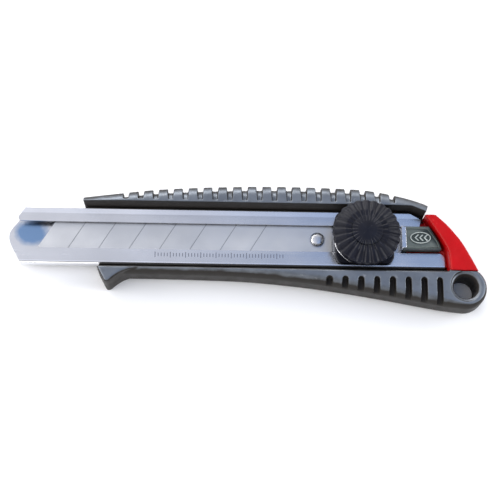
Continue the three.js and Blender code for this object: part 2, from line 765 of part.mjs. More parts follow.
function clampBolt() {
  const half = BOLT_HEAD / 2;
  const head = box(knobX - half, knobX + half, -half, half, plateLow, plateTop);
  const foot = plateTop - CARRIER_PLATE / 3;
  const end = domeLow - DOME_SEAT - 2 * SEAT_GAP;
  const shank = turned(knobX, 0, [
    [0, foot],
    [BOLT_R, foot],
    [BOLT_R, end - DOME_SEAT],
    [BOLT_R - DOME_SEAT, end],
    [0, end],
  ], 24);
  return joined(head, shank);
}

// ---- Shoe, spring and washer ---------------------------------------------------------------

function slideShoe() {
  const front = knobX - SHOE_LENGTH / 2;
  const back = knobX + SHOE_LENGTH / 2;
  const outline = roundedBox(front, back, -shoeHalf, shoeHalf, SHOE_CORNER);
  const top = roundedPlate(outline, shoeLow, shoeTop, SHOE_EDGE_ROUND, 2, 3);
  const neck = box(
    front + SHOE_NECK_INSET, back - SHOE_NECK_INSET,
    lowerLipY + RUN_GAP, upperLipY - RUN_GAP,
    blockTop + SEAT_GAP, shoeLow + SHOE_NECK_LAP);
  const hole = drum(knobX, 0, BOLT_R + SEAT_GAP, -FAR, FAR, 24);
  return cutBy(joined(top, neck), hole);
}

function ring(outer, inner, low, high, segments = 32) {
  const body = drum(knobX, 0, outer, low, high, segments);
  return cutBy(body, drum(knobX, 0, inner, low - CUT_MARGIN, high + CUT_MARGIN, 24));
}

// Its flats lie beside the rails and keep it from turning.
function clampWasher() {
  const disc = ring(WASHER_R, BOLT_R + RUN_GAP, washerLow, washerTop, 48);
  return disc.intersect(box(-FAR, FAR, -shoeHalf, shoeHalf, -FAR, FAR));
}

// ---- Knob --------------------------------------------------------------------------------

const insertLow = skirtLow + INSERT_FOOT;
const insertTop = domeLow - INSERT_COVER;
const dishR = KNOB_DOME_R - DOME_LEDGE;

function fluteTool(index) {
  const span = knobR - KNOB_DOME_R + FLUTE_OUTER_R;
  const cone = new THREE.CylinderGeometry(FLUTE_INNER_R, FLUTE_OUTER_R, span, 10);
  cone.translate(0, -span / 2, 0);
  cone.rotateX(-Math.PI / 2);
  cone.rotateY(Math.PI / 2);
  const slope = Math.atan2(KNOB_RISE, knobR - KNOB_DOME_R);
  cone.rotateY(slope);
  cone.translate(KNOB_DOME_R, 0, domeLow + SEAT_GAP);
  cone.rotateZ((index * 2 * Math.PI) / KNOB_FLUTES);
  cone.translate(knobX, 0, 0);
  return solidOf(cone);
}

function knobBody() {
  const halfway = (knobR + KNOB_DOME_R) / 2;
  const whole = turned(knobX, 0, [
    [0, skirtLow],
    [skirtR - 0.4, skirtLow],
    [skirtR, skirtLow + 0.5],
    [skirtR, rimLow],
    [knobR - 0.4, rimLow],
    [knobR, rimLow + 0.4],
    [knobR - 0.1, rimTop - 0.4],
    [knobR - 0.7, rimTop + 0.1],
    [halfway, rimTop + KNOB_RISE * 0.64],
    [KNOB_DOME_R, domeLow],
    [0, domeLow],
  ], 48);
  const flutes = series(KNOB_FLUTES, fluteTool);
  const bore = drum(knobX, 0, BOLT_R + RUN_GAP, skirtLow - CUT_MARGIN, insertLow + SEAT_GAP, 24);
  const insertPocket = drum(knobX, 0, INSERT_R + SEAT_GAP, insertLow, domeLow + CUT_MARGIN, 24);
  const capPocket = drum(knobX, 0, dishR, domeLow - DOME_SEAT, domeLow + CUT_MARGIN, 32);
  return cutBy(whole, ...flutes, bore, insertPocket, capPocket);
}

function knobCap() {
  const radius = dishR - SEAT_GAP;
  const foot = domeLow - DOME_SEAT + SEAT_GAP;
  const top = domeLow + KNOB_DOME_RISE;
  return turned(knobX, 0, [
    [0, foot],
    [radius, foot],
    [radius, domeLow + DOME_SHOULDER],
    [(radius + KNOB_DOME_FLAT_R) * 0.52, top - DOME_SHOULDER * 0.6],
    [KNOB_DOME_FLAT_R, top],
    [0, top],
  ], 32);
}

// ---- End cap -----------------------------------------------------------------------------

// Runs past the foot and the top; endCap() trims both square.
function capShape() {
  const inner = tailLine(RUN_GAP);
  const below = lugTopY - 4;
  const shape = new THREE.Shape();
  shape.moveTo(inner[4][0], below);
  shape.lineTo(behindKnob(39.2), below);
  shape.lineTo(behindKnob(36.8), lugTopY + RUN_GAP);
  shape.splineThru(splinePoints([
    [behindKnob(34.7), across(-0.723)],
    [behindKnob(31.6), across(-0.158)],
    [behindKnob(27.3), across(0.386)],
    [behindKnob(23.3), across(0.762)],
  ]));
  shape.lineTo(behindKnob(19.2), aboveWall(2.9));
  shape.lineTo(behindKnob(15.2), aboveWall(3.9));
  inner.slice(0, 4).forEach(([x, y]) => shape.lineTo(x, y));
  return shape;
}

// The tongue fills the channel's end between its web and its lips.
function endCap() {
  const block = roundedPlate(capShape(), CAP_FOOT, CAP_HEIGHT, CAP_ROUND, 3, 2);
  const below = box(-FAR, FAR, -FAR, lugTopY + RUN_GAP, -FAR, FAR);
  const above = box(-FAR, FAR, aboveWall(CAP_TOP), FAR, -FAR, FAR);
  const tongue = polygon([
    [behindKnob(CAP_TONGUE), -carrierHalf],
    [behindKnob(28.7), -carrierHalf],
    [behindKnob(28.7), across(-0.4)],
    [behindKnob(23.2), across(0.475)],
    [behindKnob(20.7), across(0.604)],
    [behindKnob(CAP_TONGUE), across(0.604)],
  ]);
  return joined(cutBy(block, below, above), plate(tongue, webTop + RUN_GAP, lipLow - RUN_GAP));
}

const plugLow = lipLow - RUN_GAP + SEAT_GAP;
const plugFrontX = behindKnob(PLUG_FRONT);

function plugShape(inset) {
  const slant = tailLine(-RUN_GAP);
  return polygon([
    [plugFrontX + inset, plugBottomY + inset],
    [slant[3][0] - 1.4 - inset, plugBottomY + inset],
    [slant[2][0] - 0.4 - inset, slant[2][1] + inset / 2],
    [slant[1][0] - inset, plugTopY - 0.9 - inset / 2],
    [slant[1][0] - 0.6 - inset, plugTopY - inset],
    [plugFrontX + inset, plugTopY - inset],
  ]);
}

function capPlug() {
  const body = roundedPlate(plugShape(0), plugLow, plugTop, 0.3, 1);
  const recess = plate(plugShape(PLUG_BORDER), plugTop - PLUG_RECESS, plugTop + CUT_MARGIN);
  return cutBy(body, recess);
}

// Bent strip that hooks over the plug's front edge.
function capClip() {
  const back = plugFrontX - SEAT_GAP;
  const front = back - CLIP_SHEET;
  const low = plugTop + SEAT_GAP;
  const high = low + CLIP_SHEET;
  const wall = box(front, back, plugBottomY, plugTopY, plugLow, high);
  const hook = box(front, back + CLIP_HOOK, plugBottomY + RUN_GAP, plugTopY - RUN_GAP, low, high);
  return joined(wall, hook);
}

// A thin oval badge with raised arrows that point the way the blade goes.
function capEmblem() {
  const floor = plugTop - PLUG_RECESS + SEAT_GAP;
  const x = behindKnob(EMBLEM_BACK);
  const y = (plugTopY + plugBottomY) / 2;
  const half = (plugTopY - plugBottomY) / 2 - PLUG_BORDER - EMBLEM_MARGIN;
  const wingHalf = half * CHEVRON_SHARE;
  const oval = new THREE.Shape();
  oval.absellipse(x, y, EMBLEM_LENGTH / 2, half, 0, 2 * Math.PI);
  const badge = plate(oval, floor, floor + 0.15, 12);
  const chevrons = series(EMBLEM_CHEVRONS, (index) => {
    const tip = x + (index - (EMBLEM_CHEVRONS - 1) / 2) * CHEVRON_PITCH - wingHalf;
    const wing = tip + wingHalf;
    return plate(polygon([
      [tip + CHEVRON_STROKE, y],
      [wing + CHEVRON_STROKE, y - wingHalf],
      [wing, y - wingHalf],
      [tip, y],
      [wing, y + wingHalf],
      [wing + CHEVRON_STROKE, y + wingHalf],
    ]), floor, floor + 0.35);
  });
  return joined(badge, ...chevrons);
}

// ---- Assembly ----------------------------------------------------------------------------

addPiece('handle_casting', handleCasting(), castPaint);
addPiece('blade_channel', bladeChannel(), stainless);
rivetXs.forEach((x, index) => addPiece(`channel_rivet_${index + 1}`, rivetSolid(x, 0, false), zincSteel));

addPiece('blade', snapBlade(), bladeSteel);
addPiece('carrier_plate', carrierPlate(), zincSteel);
addPiece('carrier_block', carrierBlock(), zincSteel);
carrierRivetXs.forEach((x, index) => {
  addPiece(`carrier_rivet_${index + 1}`, drum(x, 0, CARRIER_RIVET_R, plateLow, blockTop, 20), zincSteel);
});
addPiece('blade_pin', bladePin(), zincSteel);
addPiece('clamp_bolt', clampBolt(), zincSteel);
addPiece('slide_shoe', slideShoe(), blackPlastic);
addPiece('wave_spring', ring(SPRING_R, SPRING_BORE_R, shoeTop + SEAT_GAP, springTop), zincSteel);

addPiece('clamp_washer', clampWasher(), stainless);

addPiece('knob', knobBody(), blackPlastic);
addPiece('knob_insert', ring(INSERT_R, BOLT_R + THREAD_GAP, insertLow + SEAT_GAP, insertTop, 24), brass);
addPiece('knob_cap', knobCap(), blackPlastic);

addPiece('end_cap', endCap(), redPlastic);
addPiece('cap_plug', capPlug(), darkPlastic);
addPiece('cap_clip', capClip(), stainless);
addPiece('cap_emblem', capEmblem(), emblemPaint);

// The origin is the middle of the model's foot.
const reach = new THREE.Box3().setFromObject(knife);
const middleOfReach = reach.getCenter(new THREE.Vector3());
knife.position.set(-middleOfReach.x, -middleOfReach.y, -reach.min.z);
knife.updateMatrixWorld(true);

export default knife;
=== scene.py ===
"""Looks of the screw-lock snap-off cutter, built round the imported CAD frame.

Outlines are in millimetres from the CAD's datum: X = 0 near the middle of the knife, Y = 0 on the
blade channel's centre line, Z = 0 on the table. The frame's boxes say where that datum lies.
"""

import json
import math

import bmesh
import bpy
import numpy as np
from mathutils import Matrix, Vector


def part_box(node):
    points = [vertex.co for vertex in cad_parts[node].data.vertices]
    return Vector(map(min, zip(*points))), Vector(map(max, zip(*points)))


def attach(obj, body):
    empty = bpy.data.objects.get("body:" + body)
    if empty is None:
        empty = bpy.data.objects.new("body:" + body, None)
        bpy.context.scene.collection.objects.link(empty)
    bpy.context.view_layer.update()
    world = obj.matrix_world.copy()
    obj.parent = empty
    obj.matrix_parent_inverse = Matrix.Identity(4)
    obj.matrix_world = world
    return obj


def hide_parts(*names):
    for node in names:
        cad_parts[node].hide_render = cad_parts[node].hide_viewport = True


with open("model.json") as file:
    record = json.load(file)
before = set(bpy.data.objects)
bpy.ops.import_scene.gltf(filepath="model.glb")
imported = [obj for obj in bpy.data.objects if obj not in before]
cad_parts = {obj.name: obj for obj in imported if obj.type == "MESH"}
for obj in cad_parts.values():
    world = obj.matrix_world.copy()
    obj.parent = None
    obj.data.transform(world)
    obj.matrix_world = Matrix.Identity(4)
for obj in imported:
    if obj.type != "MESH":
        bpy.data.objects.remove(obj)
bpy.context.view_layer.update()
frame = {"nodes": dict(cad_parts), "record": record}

MM = 0.001

# ---- Places taken from the frame ----

BLADE_TIP_X = -72.7  # mm from the datum, blade drawn back

blade_low, blade_high = (Vector(corner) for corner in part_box("blade"))
channel_low, channel_high = (Vector(corner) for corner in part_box("blade_channel"))
cast_high = Vector(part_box("handle_casting")[1])
knob_low, knob_high = (Vector(corner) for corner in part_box("knob"))
cap_low, cap_high = (Vector(corner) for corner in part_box("end_cap"))
shoe_low, shoe_high = (Vector(corner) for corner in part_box("slide_shoe"))
washer_low, washer_high = (Vector(corner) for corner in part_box("clamp_washer"))
plug_low, plug_high = (Vector(corner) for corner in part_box("cap_plug"))
clip_low, clip_high = (Vector(corner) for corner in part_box("cap_clip"))
dome_low, dome_high = (Vector(corner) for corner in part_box("knob_cap"))
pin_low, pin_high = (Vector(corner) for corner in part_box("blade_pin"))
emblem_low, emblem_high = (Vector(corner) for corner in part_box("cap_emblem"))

DATUM = Vector((blade_low.x - BLADE_TIP_X * MM, (channel_low.y + channel_high.y) / 2, 0))


def from_datum(point):
    """A point in metres as millimetres from the datum."""
    return (point - DATUM) / MM


RAIL_HEIGHT = cast_high.z / MM
WEB_LOW = channel_low.z / MM
LIP_TOP = channel_high.z / MM
CHANNEL_OUTER = (channel_high.y - channel_low.y) / 2 / MM
KNOB_X = from_datum((knob_low + knob_high) / 2).x
KNOB_R = (knob_high.x - knob_low.x) / 2 / MM
WEB_NOSE_X = from_datum(channel_low).x
BACK_PLATE = 2.2  # casting under the channel
SHEET = 0.6  # the channel's steel
RUN_GAP = 0.3  # between pieces that slide past each other
RIVET_XS = (-42, -6, 33)
RIVET_R = 1.5
RIVET_HEAD_R = 2.4
RIVET_FLARE = 0.54  # the shank widens this much in the channel's floor
RIVET_PLAY = 0.15
DOME_R = (dome_high.x - dome_low.x) / 2 / MM

# ---- Mesh helpers ----


def linked(name, data):
    """A new object in the scene."""
    piece = bpy.data.objects.new(name, data)
    bpy.context.scene.collection.objects.link(piece)
    return piece


def mesh_object(name, points, faces):
    """A mesh piece from points in millimetres from the datum."""
    mesh = bpy.data.meshes.new(name)
    mesh.from_pydata([Vector(point) * MM + DATUM for point in points], [], faces)
    mesh.validate()
    built = bmesh.new()
    built.from_mesh(mesh)
    bmesh.ops.recalc_face_normals(built, faces=built.faces)
    built.to_mesh(mesh)
    built.free()
    return linked(name, mesh)


def spline(points, steps=8):
    """Points along a Catmull-Rom curve through the given ones."""
    curve = []
    last = len(points) - 1
    for index in range(last):
        a = np.array(points[max(index - 1, 0)], float)
        b = np.array(points[index], float)
        c = np.array(points[index + 1], float)
        d = np.array(points[min(index + 2, last)], float)
        for step in range(steps):
            t = step / steps
            leave, arrive = (c - a) / 2, (d - b) / 2
            curve.append(tuple(
                (2 * b - 2 * c + leave + arrive) * t**3
                + (3 * c - 3 * b - 2 * leave - arrive) * t**2
                + leave * t
                + b
            ))
    curve.append(tuple(points[-1]))
    return curve


def arc(x, y, radius, start, end, steps=12):
    """Points along an arc; angles in degrees."""
    angles = [math.radians(start + (end - start) * step / steps) for step in range(steps + 1)]
    return [(x + radius * math.cos(angle), y + radius * math.sin(angle)) for angle in angles]


def bezier(start, one, two, end, steps=10):
    """Points along a cubic curve, without its first point."""
    ends = [np.array(point, float) for point in (start, one, two, end)]
    curve = []
    for step in range(1, steps + 1):
        t = step / steps
        weights = ((1 - t) ** 3, 3 * t * (1 - t) ** 2, 3 * t**2 * (1 - t), t**3)
        curve.append(tuple(sum(weight * point for weight, point in zip(weights, ends))))
    return curve


def anticlockwise(outline):
    area = sum(
        a[0] * b[1] - b[0] * a[1] for a, b in zip(outline, outline[1:] + outline[:1])
    )
    return list(outline) if area > 0 else list(reversed(outline))


def without_doubles(outline, nearest=1e-3):
    kept = []
    for point in outline:
        if not kept or math.dist(point, kept[-1]) > nearest:
            kept.append(point)
    if math.dist(kept[0], kept[-1]) < nearest:
        kept.pop()
    return kept


def inset(outline, distance):
    """The anticlockwise outline moved inwards, corner by corner."""
    moved = []
    for before, here, after in zip(outline[-1:] + outline[:-1], outline, outline[1:] + outline[:1]):
        one = Vector((here[0] - before[0], here[1] - before[1])).normalized()
        two = Vector((after[0] - here[0], after[1] - here[1])).normalized()
        inward_one, inward_two = Vector((-one.y, one.x)), Vector((-two.y, two.x))
        middle = (inward_one + inward_two).normalized()
        reach = distance / max(middle.dot(inward_one), 0.25)
        moved.append((here[0] + middle.x * reach, here[1] + middle.y * reach))
    return moved


def stacked(name, layers):
    """A closed piece from outlines of one length, each at its own height."""
    count = len(layers[0][0])
    points = [(x, y, z) for outline, z in layers for x, y in outline]
    faces = [tuple(reversed(range(count)))]
    for layer in range(len(layers) - 1):
        start = layer * count
        for index in range(count):
            following = (index + 1) % count
            faces.append((
                start + index, start + following, start + count + following, start + count + index
            ))
    top = (len(layers) - 1) * count
    faces.append(tuple(range(top, top + count)))
    return mesh_object(name, points, faces)


def prism(name, outline, low, high):
    outline = anticlockwise(without_doubles(outline))
    return stacked(name, [(outline, low), (outline, high)])


def rounded_prism(name, outline, low, high, radius, steps=8):
    """A prism whose edges are quarter rounds; the outline is its widest line."""
    outline = anticlockwise(without_doubles(outline))
    angles = [math.pi / 2 * step / steps for step in range(steps, -1, -1)]
    layers = [
        (inset(outline, radius * (1 - math.cos(angle))), low + radius - radius * math.sin(angle))
        for angle in angles
    ]
    layers += [
        (inset(outline, radius * (1 - math.cos(angle))), high - radius + radius * math.sin(angle))
        for angle in reversed(angles)
    ]
    return stacked(name, layers)


def bar(name, section, from_x, to_x):
    """A section drawn in Y and Z, run along X."""
    section = anticlockwise(without_doubles(section))
    count = len(section)
    points = [(x, y, z) for x in (from_x, to_x) for y, z in section]
    faces = [tuple(reversed(range(count))), tuple(range(count, 2 * count))]
    for index in range(count):
        following = (index + 1) % count
        faces.append((index, following, count + following, count + index))
    return mesh_object(name, points, faces)


def block(name, low_x, high_x, low_y, high_y, low_z, high_z):
    outline = [(low_x, low_y), (high_x, low_y), (high_x, high_y), (low_x, high_y)]
    return prism(name, outline, low_z, high_z)


def turned(name, x, y, profile, segments=64):
    """A profile of (radius, height) points turned about a vertical axis.

    It starts and ends on the axis, or closes on itself when it never meets the axis.
    """
    on_axis = profile[0][0] == 0
    rings = profile[1:-1] if on_axis else profile
    points = []
    for radius, height in rings:
        for index in range(segments):
            angle = 2 * math.pi * index / segments
            points.append((x + radius * math.cos(angle), y + radius * math.sin(angle), height))
    faces = []
    for ring in range(len(rings) if not on_axis else len(rings) - 1):
        start, end = ring * segments, (ring + 1) % len(rings) * segments
        for index in range(segments):
            following = (index + 1) % segments
            faces.append((start + index, start + following, end + following, end + index))
    if on_axis:
        points += [(x, y, profile[0][1]), (x, y, profile[-1][1])]
        first, last = len(points) - 2, len(points) - 1
        top = (len(rings) - 1) * segments
        for index in range(segments):
            following = (index + 1) % segments
            faces.append((first, following, index))
            faces.append((last, top + index, top + following))
    return mesh_object(name, points, faces)


def baked_modifier(piece):
    """Applies the piece's modifiers to its mesh."""
    bpy.context.view_layer.update()
    graph = bpy.context.evaluated_depsgraph_get()
    mesh = bpy.data.meshes.new_from_object(piece.evaluated_get(graph))
    piece.modifiers.clear()
    old, piece.data = piece.data, mesh
    bpy.data.meshes.remove(old)
    return piece


def combine(piece, operation, *tools):
    """Joins or cuts the piece with each tool, and drops the tools."""
    for tool in tools:
        modifier = piece.modifiers.new("combine", "BOOLEAN")
        modifier.operation = operation
        modifier.object = tool
        modifier.solver = "MANIFOLD"
        baked_modifier(piece)
        bpy.data.objects.remove(tool)
    return piece


def merged(name, pieces):
    """Separate closed solids as one mesh, for use as one tool."""
    built = bmesh.new()
    for piece in pieces:
        built.from_mesh(piece.data)
        bpy.data.objects.remove(piece)
    mesh = bpy.data.meshes.new(name)
    built.to_mesh(mesh)
    built.free()
    return linked(name, mesh)


def softened(piece, voxel, rounds, keep):
    """Rounds every edge a little, as casting and moulding do: fine remesh, smooth, thin out."""
    remesh = piece.modifiers.new("remesh", "REMESH")
    remesh.mode = "VOXEL"
    remesh.voxel_size = voxel * MM
    baked_modifier(piece)
    smooth = piece.modifiers.new("smooth", "SMOOTH")
    smooth.factor = 0.5
    smooth.iterations = rounds
    baked_modifier(piece)
    thin = piece.modifiers.new("thin", "DECIMATE")
    thin.ratio = keep
    baked_modifier(piece)
    piece.data.shade_smooth()
    return piece


def shaded(piece, angle=30):
    """Smooth shading, broken at edges sharper than the angle."""
    mesh = piece.data
    mesh.shade_smooth()
    built = bmesh.new()
    built.from_mesh(mesh)
    for edge in built.edges:
        edge.smooth = len(edge.link_faces) == 2 and edge.calc_face_angle(0) < math.radians(angle)
    built.to_mesh(mesh)
    built.free()
    weighted = piece.modifiers.new("weighted", "WEIGHTED_NORMAL")
    weighted.keep_sharp = True
    weighted.weight = 100
    return piece


def eased(piece, width, segments=2, angle=28):
    """A small rounding on every sharp edge."""
    bevel = piece.modifiers.new("ease", "BEVEL")
    bevel.width = width * MM
    bevel.segments = segments
    bevel.limit_method = "ANGLE"
    bevel.angle_limit = math.radians(angle)
    bevel.use_clamp_overlap = True
    baked_modifier(piece)
    return shaded(piece, 40)


def rounded_rectangle(low_x, high_x, low_y, high_y, radius, steps=8):
    return (
        arc(high_x - radius, low_y + radius, radius, -90, 0, steps)
        + arc(high_x - radius, high_y - radius, radius, 0, 90, steps)
        + arc(low_x + radius, high_y - radius, radius, 90, 180, steps)
        + arc(low_x + radius, low_y + radius, radius, 180, 270, steps)
    )


# ---- Materials ----


def ranged(tree, value, low, high, start, end, curve="LINEAR"):
    """Carries a value from one range over to another."""
    spread = tree.nodes.new("ShaderNodeMapRange")
    spread.interpolation_type = curve
    ends = {"From Min": low, "From Max": high, "To Min": start, "To Max": end}
    for socket, number in ends.items():
        spread.inputs[socket].default_value = number
    tree.links.new(value, spread.inputs["Value"])
    return spread.outputs["Result"]


def computed(tree, operation, one, two):
    """One step of arithmetic on sockets or numbers."""
    step = tree.nodes.new("ShaderNodeMath")
    step.operation = operation
    for socket, value in zip(step.inputs, (one, two)):
        if isinstance(value, float):
            socket.default_value = value
        else:
            tree.links.new(value, socket)
    return step.outputs[0]


class Surface:
    """A node material: noise layers that drive colour, roughness and bump of one shader."""

    def __init__(self, name, metallic, **constants):
        self.material = bpy.data.materials.new(name)
        self.material.use_nodes = True
        self.tree = self.material.node_tree
        self.nodes, self.links = self.tree.nodes, self.tree.links
        self.shader = self.nodes["Principled BSDF"]
        self.shader.inputs["Metallic"].default_value = metallic
        for socket, value in constants.items():
            self.shader.inputs[socket.replace("_", " ")].default_value = value
        self.place = self.nodes.new("ShaderNodeTexCoord").outputs["Object"]
        self.normal = None

    def stretched(self, scale):
        mapping = self.nodes.new("ShaderNodeMapping")
        mapping.inputs["Scale"].default_value = scale
        self.links.new(self.place, mapping.inputs["Vector"])
        return mapping.outputs["Vector"]

    def noise(self, scale, detail=4, roughness=0.55, stretch=None, seed=0.0):
        """Noise from 0 to 1; scale is in ripples per metre."""
        texture = self.nodes.new("ShaderNodeTexNoise")
        texture.noise_dimensions = "4D"
        texture.inputs["W"].default_value = seed
        texture.inputs["Scale"].default_value = scale
        texture.inputs["Detail"].default_value = detail
        texture.inputs["Roughness"].default_value = roughness
        self.links.new(self.stretched(stretch) if stretch else self.place, texture.inputs["Vector"])
        return texture.outputs["Fac"]

    def spots(self, scale):
        texture = self.nodes.new("ShaderNodeTexVoronoi")
        texture.inputs["Scale"].default_value = scale
        self.links.new(self.place, texture.inputs["Vector"])
        return texture.outputs["Distance"]

    def ramp(self, value, low, high, start=0.0, end=1.0):
        return ranged(self.tree, value, low, high, start, end)

    def times(self, one, two, operation="MULTIPLY"):
        return computed(self.tree, operation, one, two)

    def sum(self, one, two):
        return self.times(one, two, "ADD")

    def mix(self, amount, one, two):
        blend = self.nodes.new("ShaderNodeMix")
        blend.data_type = "RGBA"
        self.links.new(amount, blend.inputs["Factor"])
        for socket, colour in (("A", one), ("B", two)):
            target = next(s for s in blend.inputs if s.name == socket and s.type == "RGBA")
            if isinstance(colour, tuple):
                target.default_value = (*colour, 1)
            else:
                self.links.new(colour, target)
        return next(s for s in blend.outputs if s.type == "RGBA")

    def tones(self, noise, dark, light, low=0.35, high=0.65):
        """Two colours blended by a noise layer."""
        return self.mix(self.ramp(noise, low, high), dark, light)

    def colour(self, output):
        self.links.new(output, self.shader.inputs["Base Color"])

    def rough(self, output):
        self.links.new(output, self.shader.inputs["Roughness"])

    def patchy(self, noise, low, high):
        """Roughness between two values, by a noise layer."""
        self.rough(self.ramp(noise, 0.3, 0.7, low, high))

    def metal(self, output):
        self.links.new(output, self.shader.inputs["Metallic"])

    def bump(self, height, distance, strength=1.0):
        """Adds a bump layer; distance in millimetres."""
        layer = self.nodes.new("ShaderNodeBump")
        layer.inputs["Strength"].default_value = strength
        layer.inputs["Distance"].default_value = distance * MM
        self.links.new(height, layer.inputs["Height"])
        if self.normal:
            self.links.new(self.normal, layer.inputs["Normal"])
        self.normal = layer.outputs["Normal"]
        self.links.new(self.normal, self.shader.inputs["Normal"])

    def edges(self, low, high):
        """1 on sharp outer edges, 0 elsewhere."""
        geometry = self.nodes.new("ShaderNodeNewGeometry")
        return self.ramp(geometry.outputs["Pointiness"], low, high)

    def upward(self):
        """How far the surface faces up: 1 on level tops, 0 on walls."""
        parts = self.nodes.new("ShaderNodeSeparateXYZ")
        facing = self.nodes.new("ShaderNodeTexCoord").outputs["Normal"]
        self.links.new(facing, parts.inputs["Vector"])
        return parts.outputs["Z"]

    def along(self, axis):
        """Object coordinate in metres along one axis."""
        parts = self.nodes.new("ShaderNodeSeparateXYZ")
        self.links.new(self.place, parts.inputs["Vector"])
        return parts.outputs[axis]


def cast_paint():
    """Gunmetal satin paint on a die-casting: orange peel, grime, bare metal on rubbed edges.

    The walls that face to the side or down, and everything sunk below the rail's top, carry a
    painted shade: darker, browner, duller and less metallic than the tops.
    """
    paint = Surface("cast_paint", 0.7, Specular_IOR_Level=0.15)
    tone = paint.tones(paint.noise(90, 5), (0.13, 0.146, 0.17), (0.185, 0.206, 0.238), 0.3, 0.7)
    grime = paint.ramp(paint.noise(420, 6, 0.65, seed=3.0), 0.52, 0.75, 0.0, 0.35)
    dirty = paint.mix(grime, tone, (0.08, 0.078, 0.075))
    scuffs = paint.ramp(paint.noise(650, 6, 0.7, seed=7.0), 0.42, 0.62, 0.0, 0.7)
    rubbed = paint.times(paint.edges(0.53, 0.6), scuffs)
    worn = paint.mix(rubbed, dirty, (0.36, 0.37, 0.39))
    patchy = paint.ramp(paint.noise(240, 4, seed=13.0), 0.3, 0.7, -0.08, 0.08)
    # Painted shade: walls facing to the side or down turn dark brown, rougher and less metallic.
    side_shade = paint.ramp(paint.sum(paint.upward(), patchy), 0.93, 0.66)
    # Painted shade: everything below the rail's top is darkened the same way.
    recess_shade = paint.ramp(paint.along("Z"), (RAIL_HEIGHT - 1.7) * MM, (RAIL_HEIGHT - 2.6) * MM)
    side_shade = paint.times(side_shade, recess_shade, "MAXIMUM")
    paint.colour(paint.mix(side_shade, worn, (0.026, 0.0235, 0.0215)))
    paint.metal(paint.ramp(side_shade, 0.0, 1.0, 0.7, 0.2))
    satin = paint.ramp(paint.noise(260, 5, seed=5.0), 0.3, 0.7, 0.32, 0.46)
    paint.rough(paint.sum(satin, paint.times(side_shade, 0.12)))
    paint.bump(paint.noise(1500, 3, seed=9.0), 0.05, 0.35)
    paint.bump(paint.noise(7000, 2, seed=11.0), 0.015, 0.4)
    return paint.material


BLUE_REFLECTION_CENTRE = (-72.3, 1.6)  # painted blue reflection on the channel's floor at its nose
BLUE_REFLECTION_REACH = (6.2, 5.2)
TICK_ROW_Y = -6.3  # the stamped scale on the lower lip
TICK_ROW_HALF = 1.3
TICK_DEPTH = 0.2


def stainless():
    """Bright rolled sheet: lengthwise grain, scratches, a painted blue reflection on the floor at
    the nose, darker floors in the stamped scale.
    """
    roughness, tint = 0.2, (0.76, 0.765, 0.79)
    steel = Surface("stainless", 1.0, Anisotropic=0.35)
    grain = steel.noise(900, 3, 0.6, stretch=(0.03, 1, 1))
    darker = tuple(channel * 0.9 for channel in tint)
    sheet = steel.tones(steel.noise(60, 4, seed=2.0), darker, tint)
    # Painted reflection: a ragged oval of blue on the channel's floor at its nose.
    centre = DATUM + Vector((*BLUE_REFLECTION_CENTRE, 0)) * MM
    x, y = steel.sum(steel.along("X"), -centre.x), steel.sum(steel.along("Y"), -centre.y)
    x, y = steel.times(x, 1 / (BLUE_REFLECTION_REACH[0] * MM)), steel.times(y, 1 / (BLUE_REFLECTION_REACH[1] * MM))
    reach = steel.sum(steel.times(x, x), steel.times(y, y))
    ragged = steel.sum(reach, steel.ramp(steel.noise(420, 3, seed=9.0), 0.3, 0.7, -0.12, 0.12))
    patch = steel.ramp(ragged, 1.0, 0.35)
    reflection_on_web = steel.times(patch, steel.ramp(steel.along("Z"), 3.4 * MM, 2.9 * MM))
    with_blue_reflection = steel.mix(reflection_on_web, sheet, (0.22, 0.35, 0.56))
    # The floors of the stamped ticks are coloured darker.
    height = steel.sum(steel.along("Z"), -LIP_TOP * MM)
    sunk = steel.times(
        steel.ramp(height, -0.3 * TICK_DEPTH * MM, -0.6 * TICK_DEPTH * MM),
        steel.ramp(height, -1.5 * TICK_DEPTH * MM, -1.3 * TICK_DEPTH * MM),
    )
    offset = steel.sum(steel.along("Y"), -(DATUM.y + TICK_ROW_Y * MM))
    edge, inside = TICK_ROW_HALF * MM, (TICK_ROW_HALF - 0.1) * MM
    row = steel.times(steel.ramp(offset, -edge, -inside), steel.ramp(offset, edge, inside))
    steel.colour(steel.mix(steel.times(sunk, row), with_blue_reflection, (0.36, 0.37, 0.4)))
    smudge = steel.ramp(steel.noise(90, 3, 0.5, seed=4.0), 0.4, 0.75, 0.0, 0.07)
    lines = steel.ramp(grain, 0.3, 0.7, roughness * 0.8, roughness * 1.25)
    steel.rough(steel.sum(smudge, lines))
    steel.bump(grain, 0.006, 0.5)
    scratch = steel.ramp(steel.noise(2200, 2, 0.5, stretch=(0.02, 1, 1), seed=6.0), 0.66, 0.72)
    steel.bump(scratch, 0.0015, 0.25)
    return steel.material


def blade_steel():
    """Satin ground steel: cross grain from the wheel, faint oil marks, darker score lines."""
    steel = Surface("blade_steel", 1.0)
    grain = steel.noise(1800, 4, 0.6, stretch=(1, 0.04, 1))
    ground = steel.tones(steel.noise(45, 3, seed=1.0), (0.58, 0.583, 0.59), (0.68, 0.682, 0.688))
    face = blade_high.z
    scored = steel.ramp(steel.along("Z"), face - 0.02 * MM, face - 0.06 * MM, 0.0, 0.55)
    flank = steel.ramp(steel.along("Y"), blade_low.y + 3 * MM, blade_low.y + 3.2 * MM)
    steel.colour(steel.mix(steel.times(scored, flank), ground, (0.12, 0.12, 0.12)))
    steel.patchy(steel.noise(160, 5, seed=8.0), 0.34, 0.44)
    steel.bump(grain, 0.008, 0.55)
    steel.bump(steel.ramp(steel.noise(5200, 2, seed=12.0), 0.6, 0.8), 0.004, 0.3)
    return steel.material


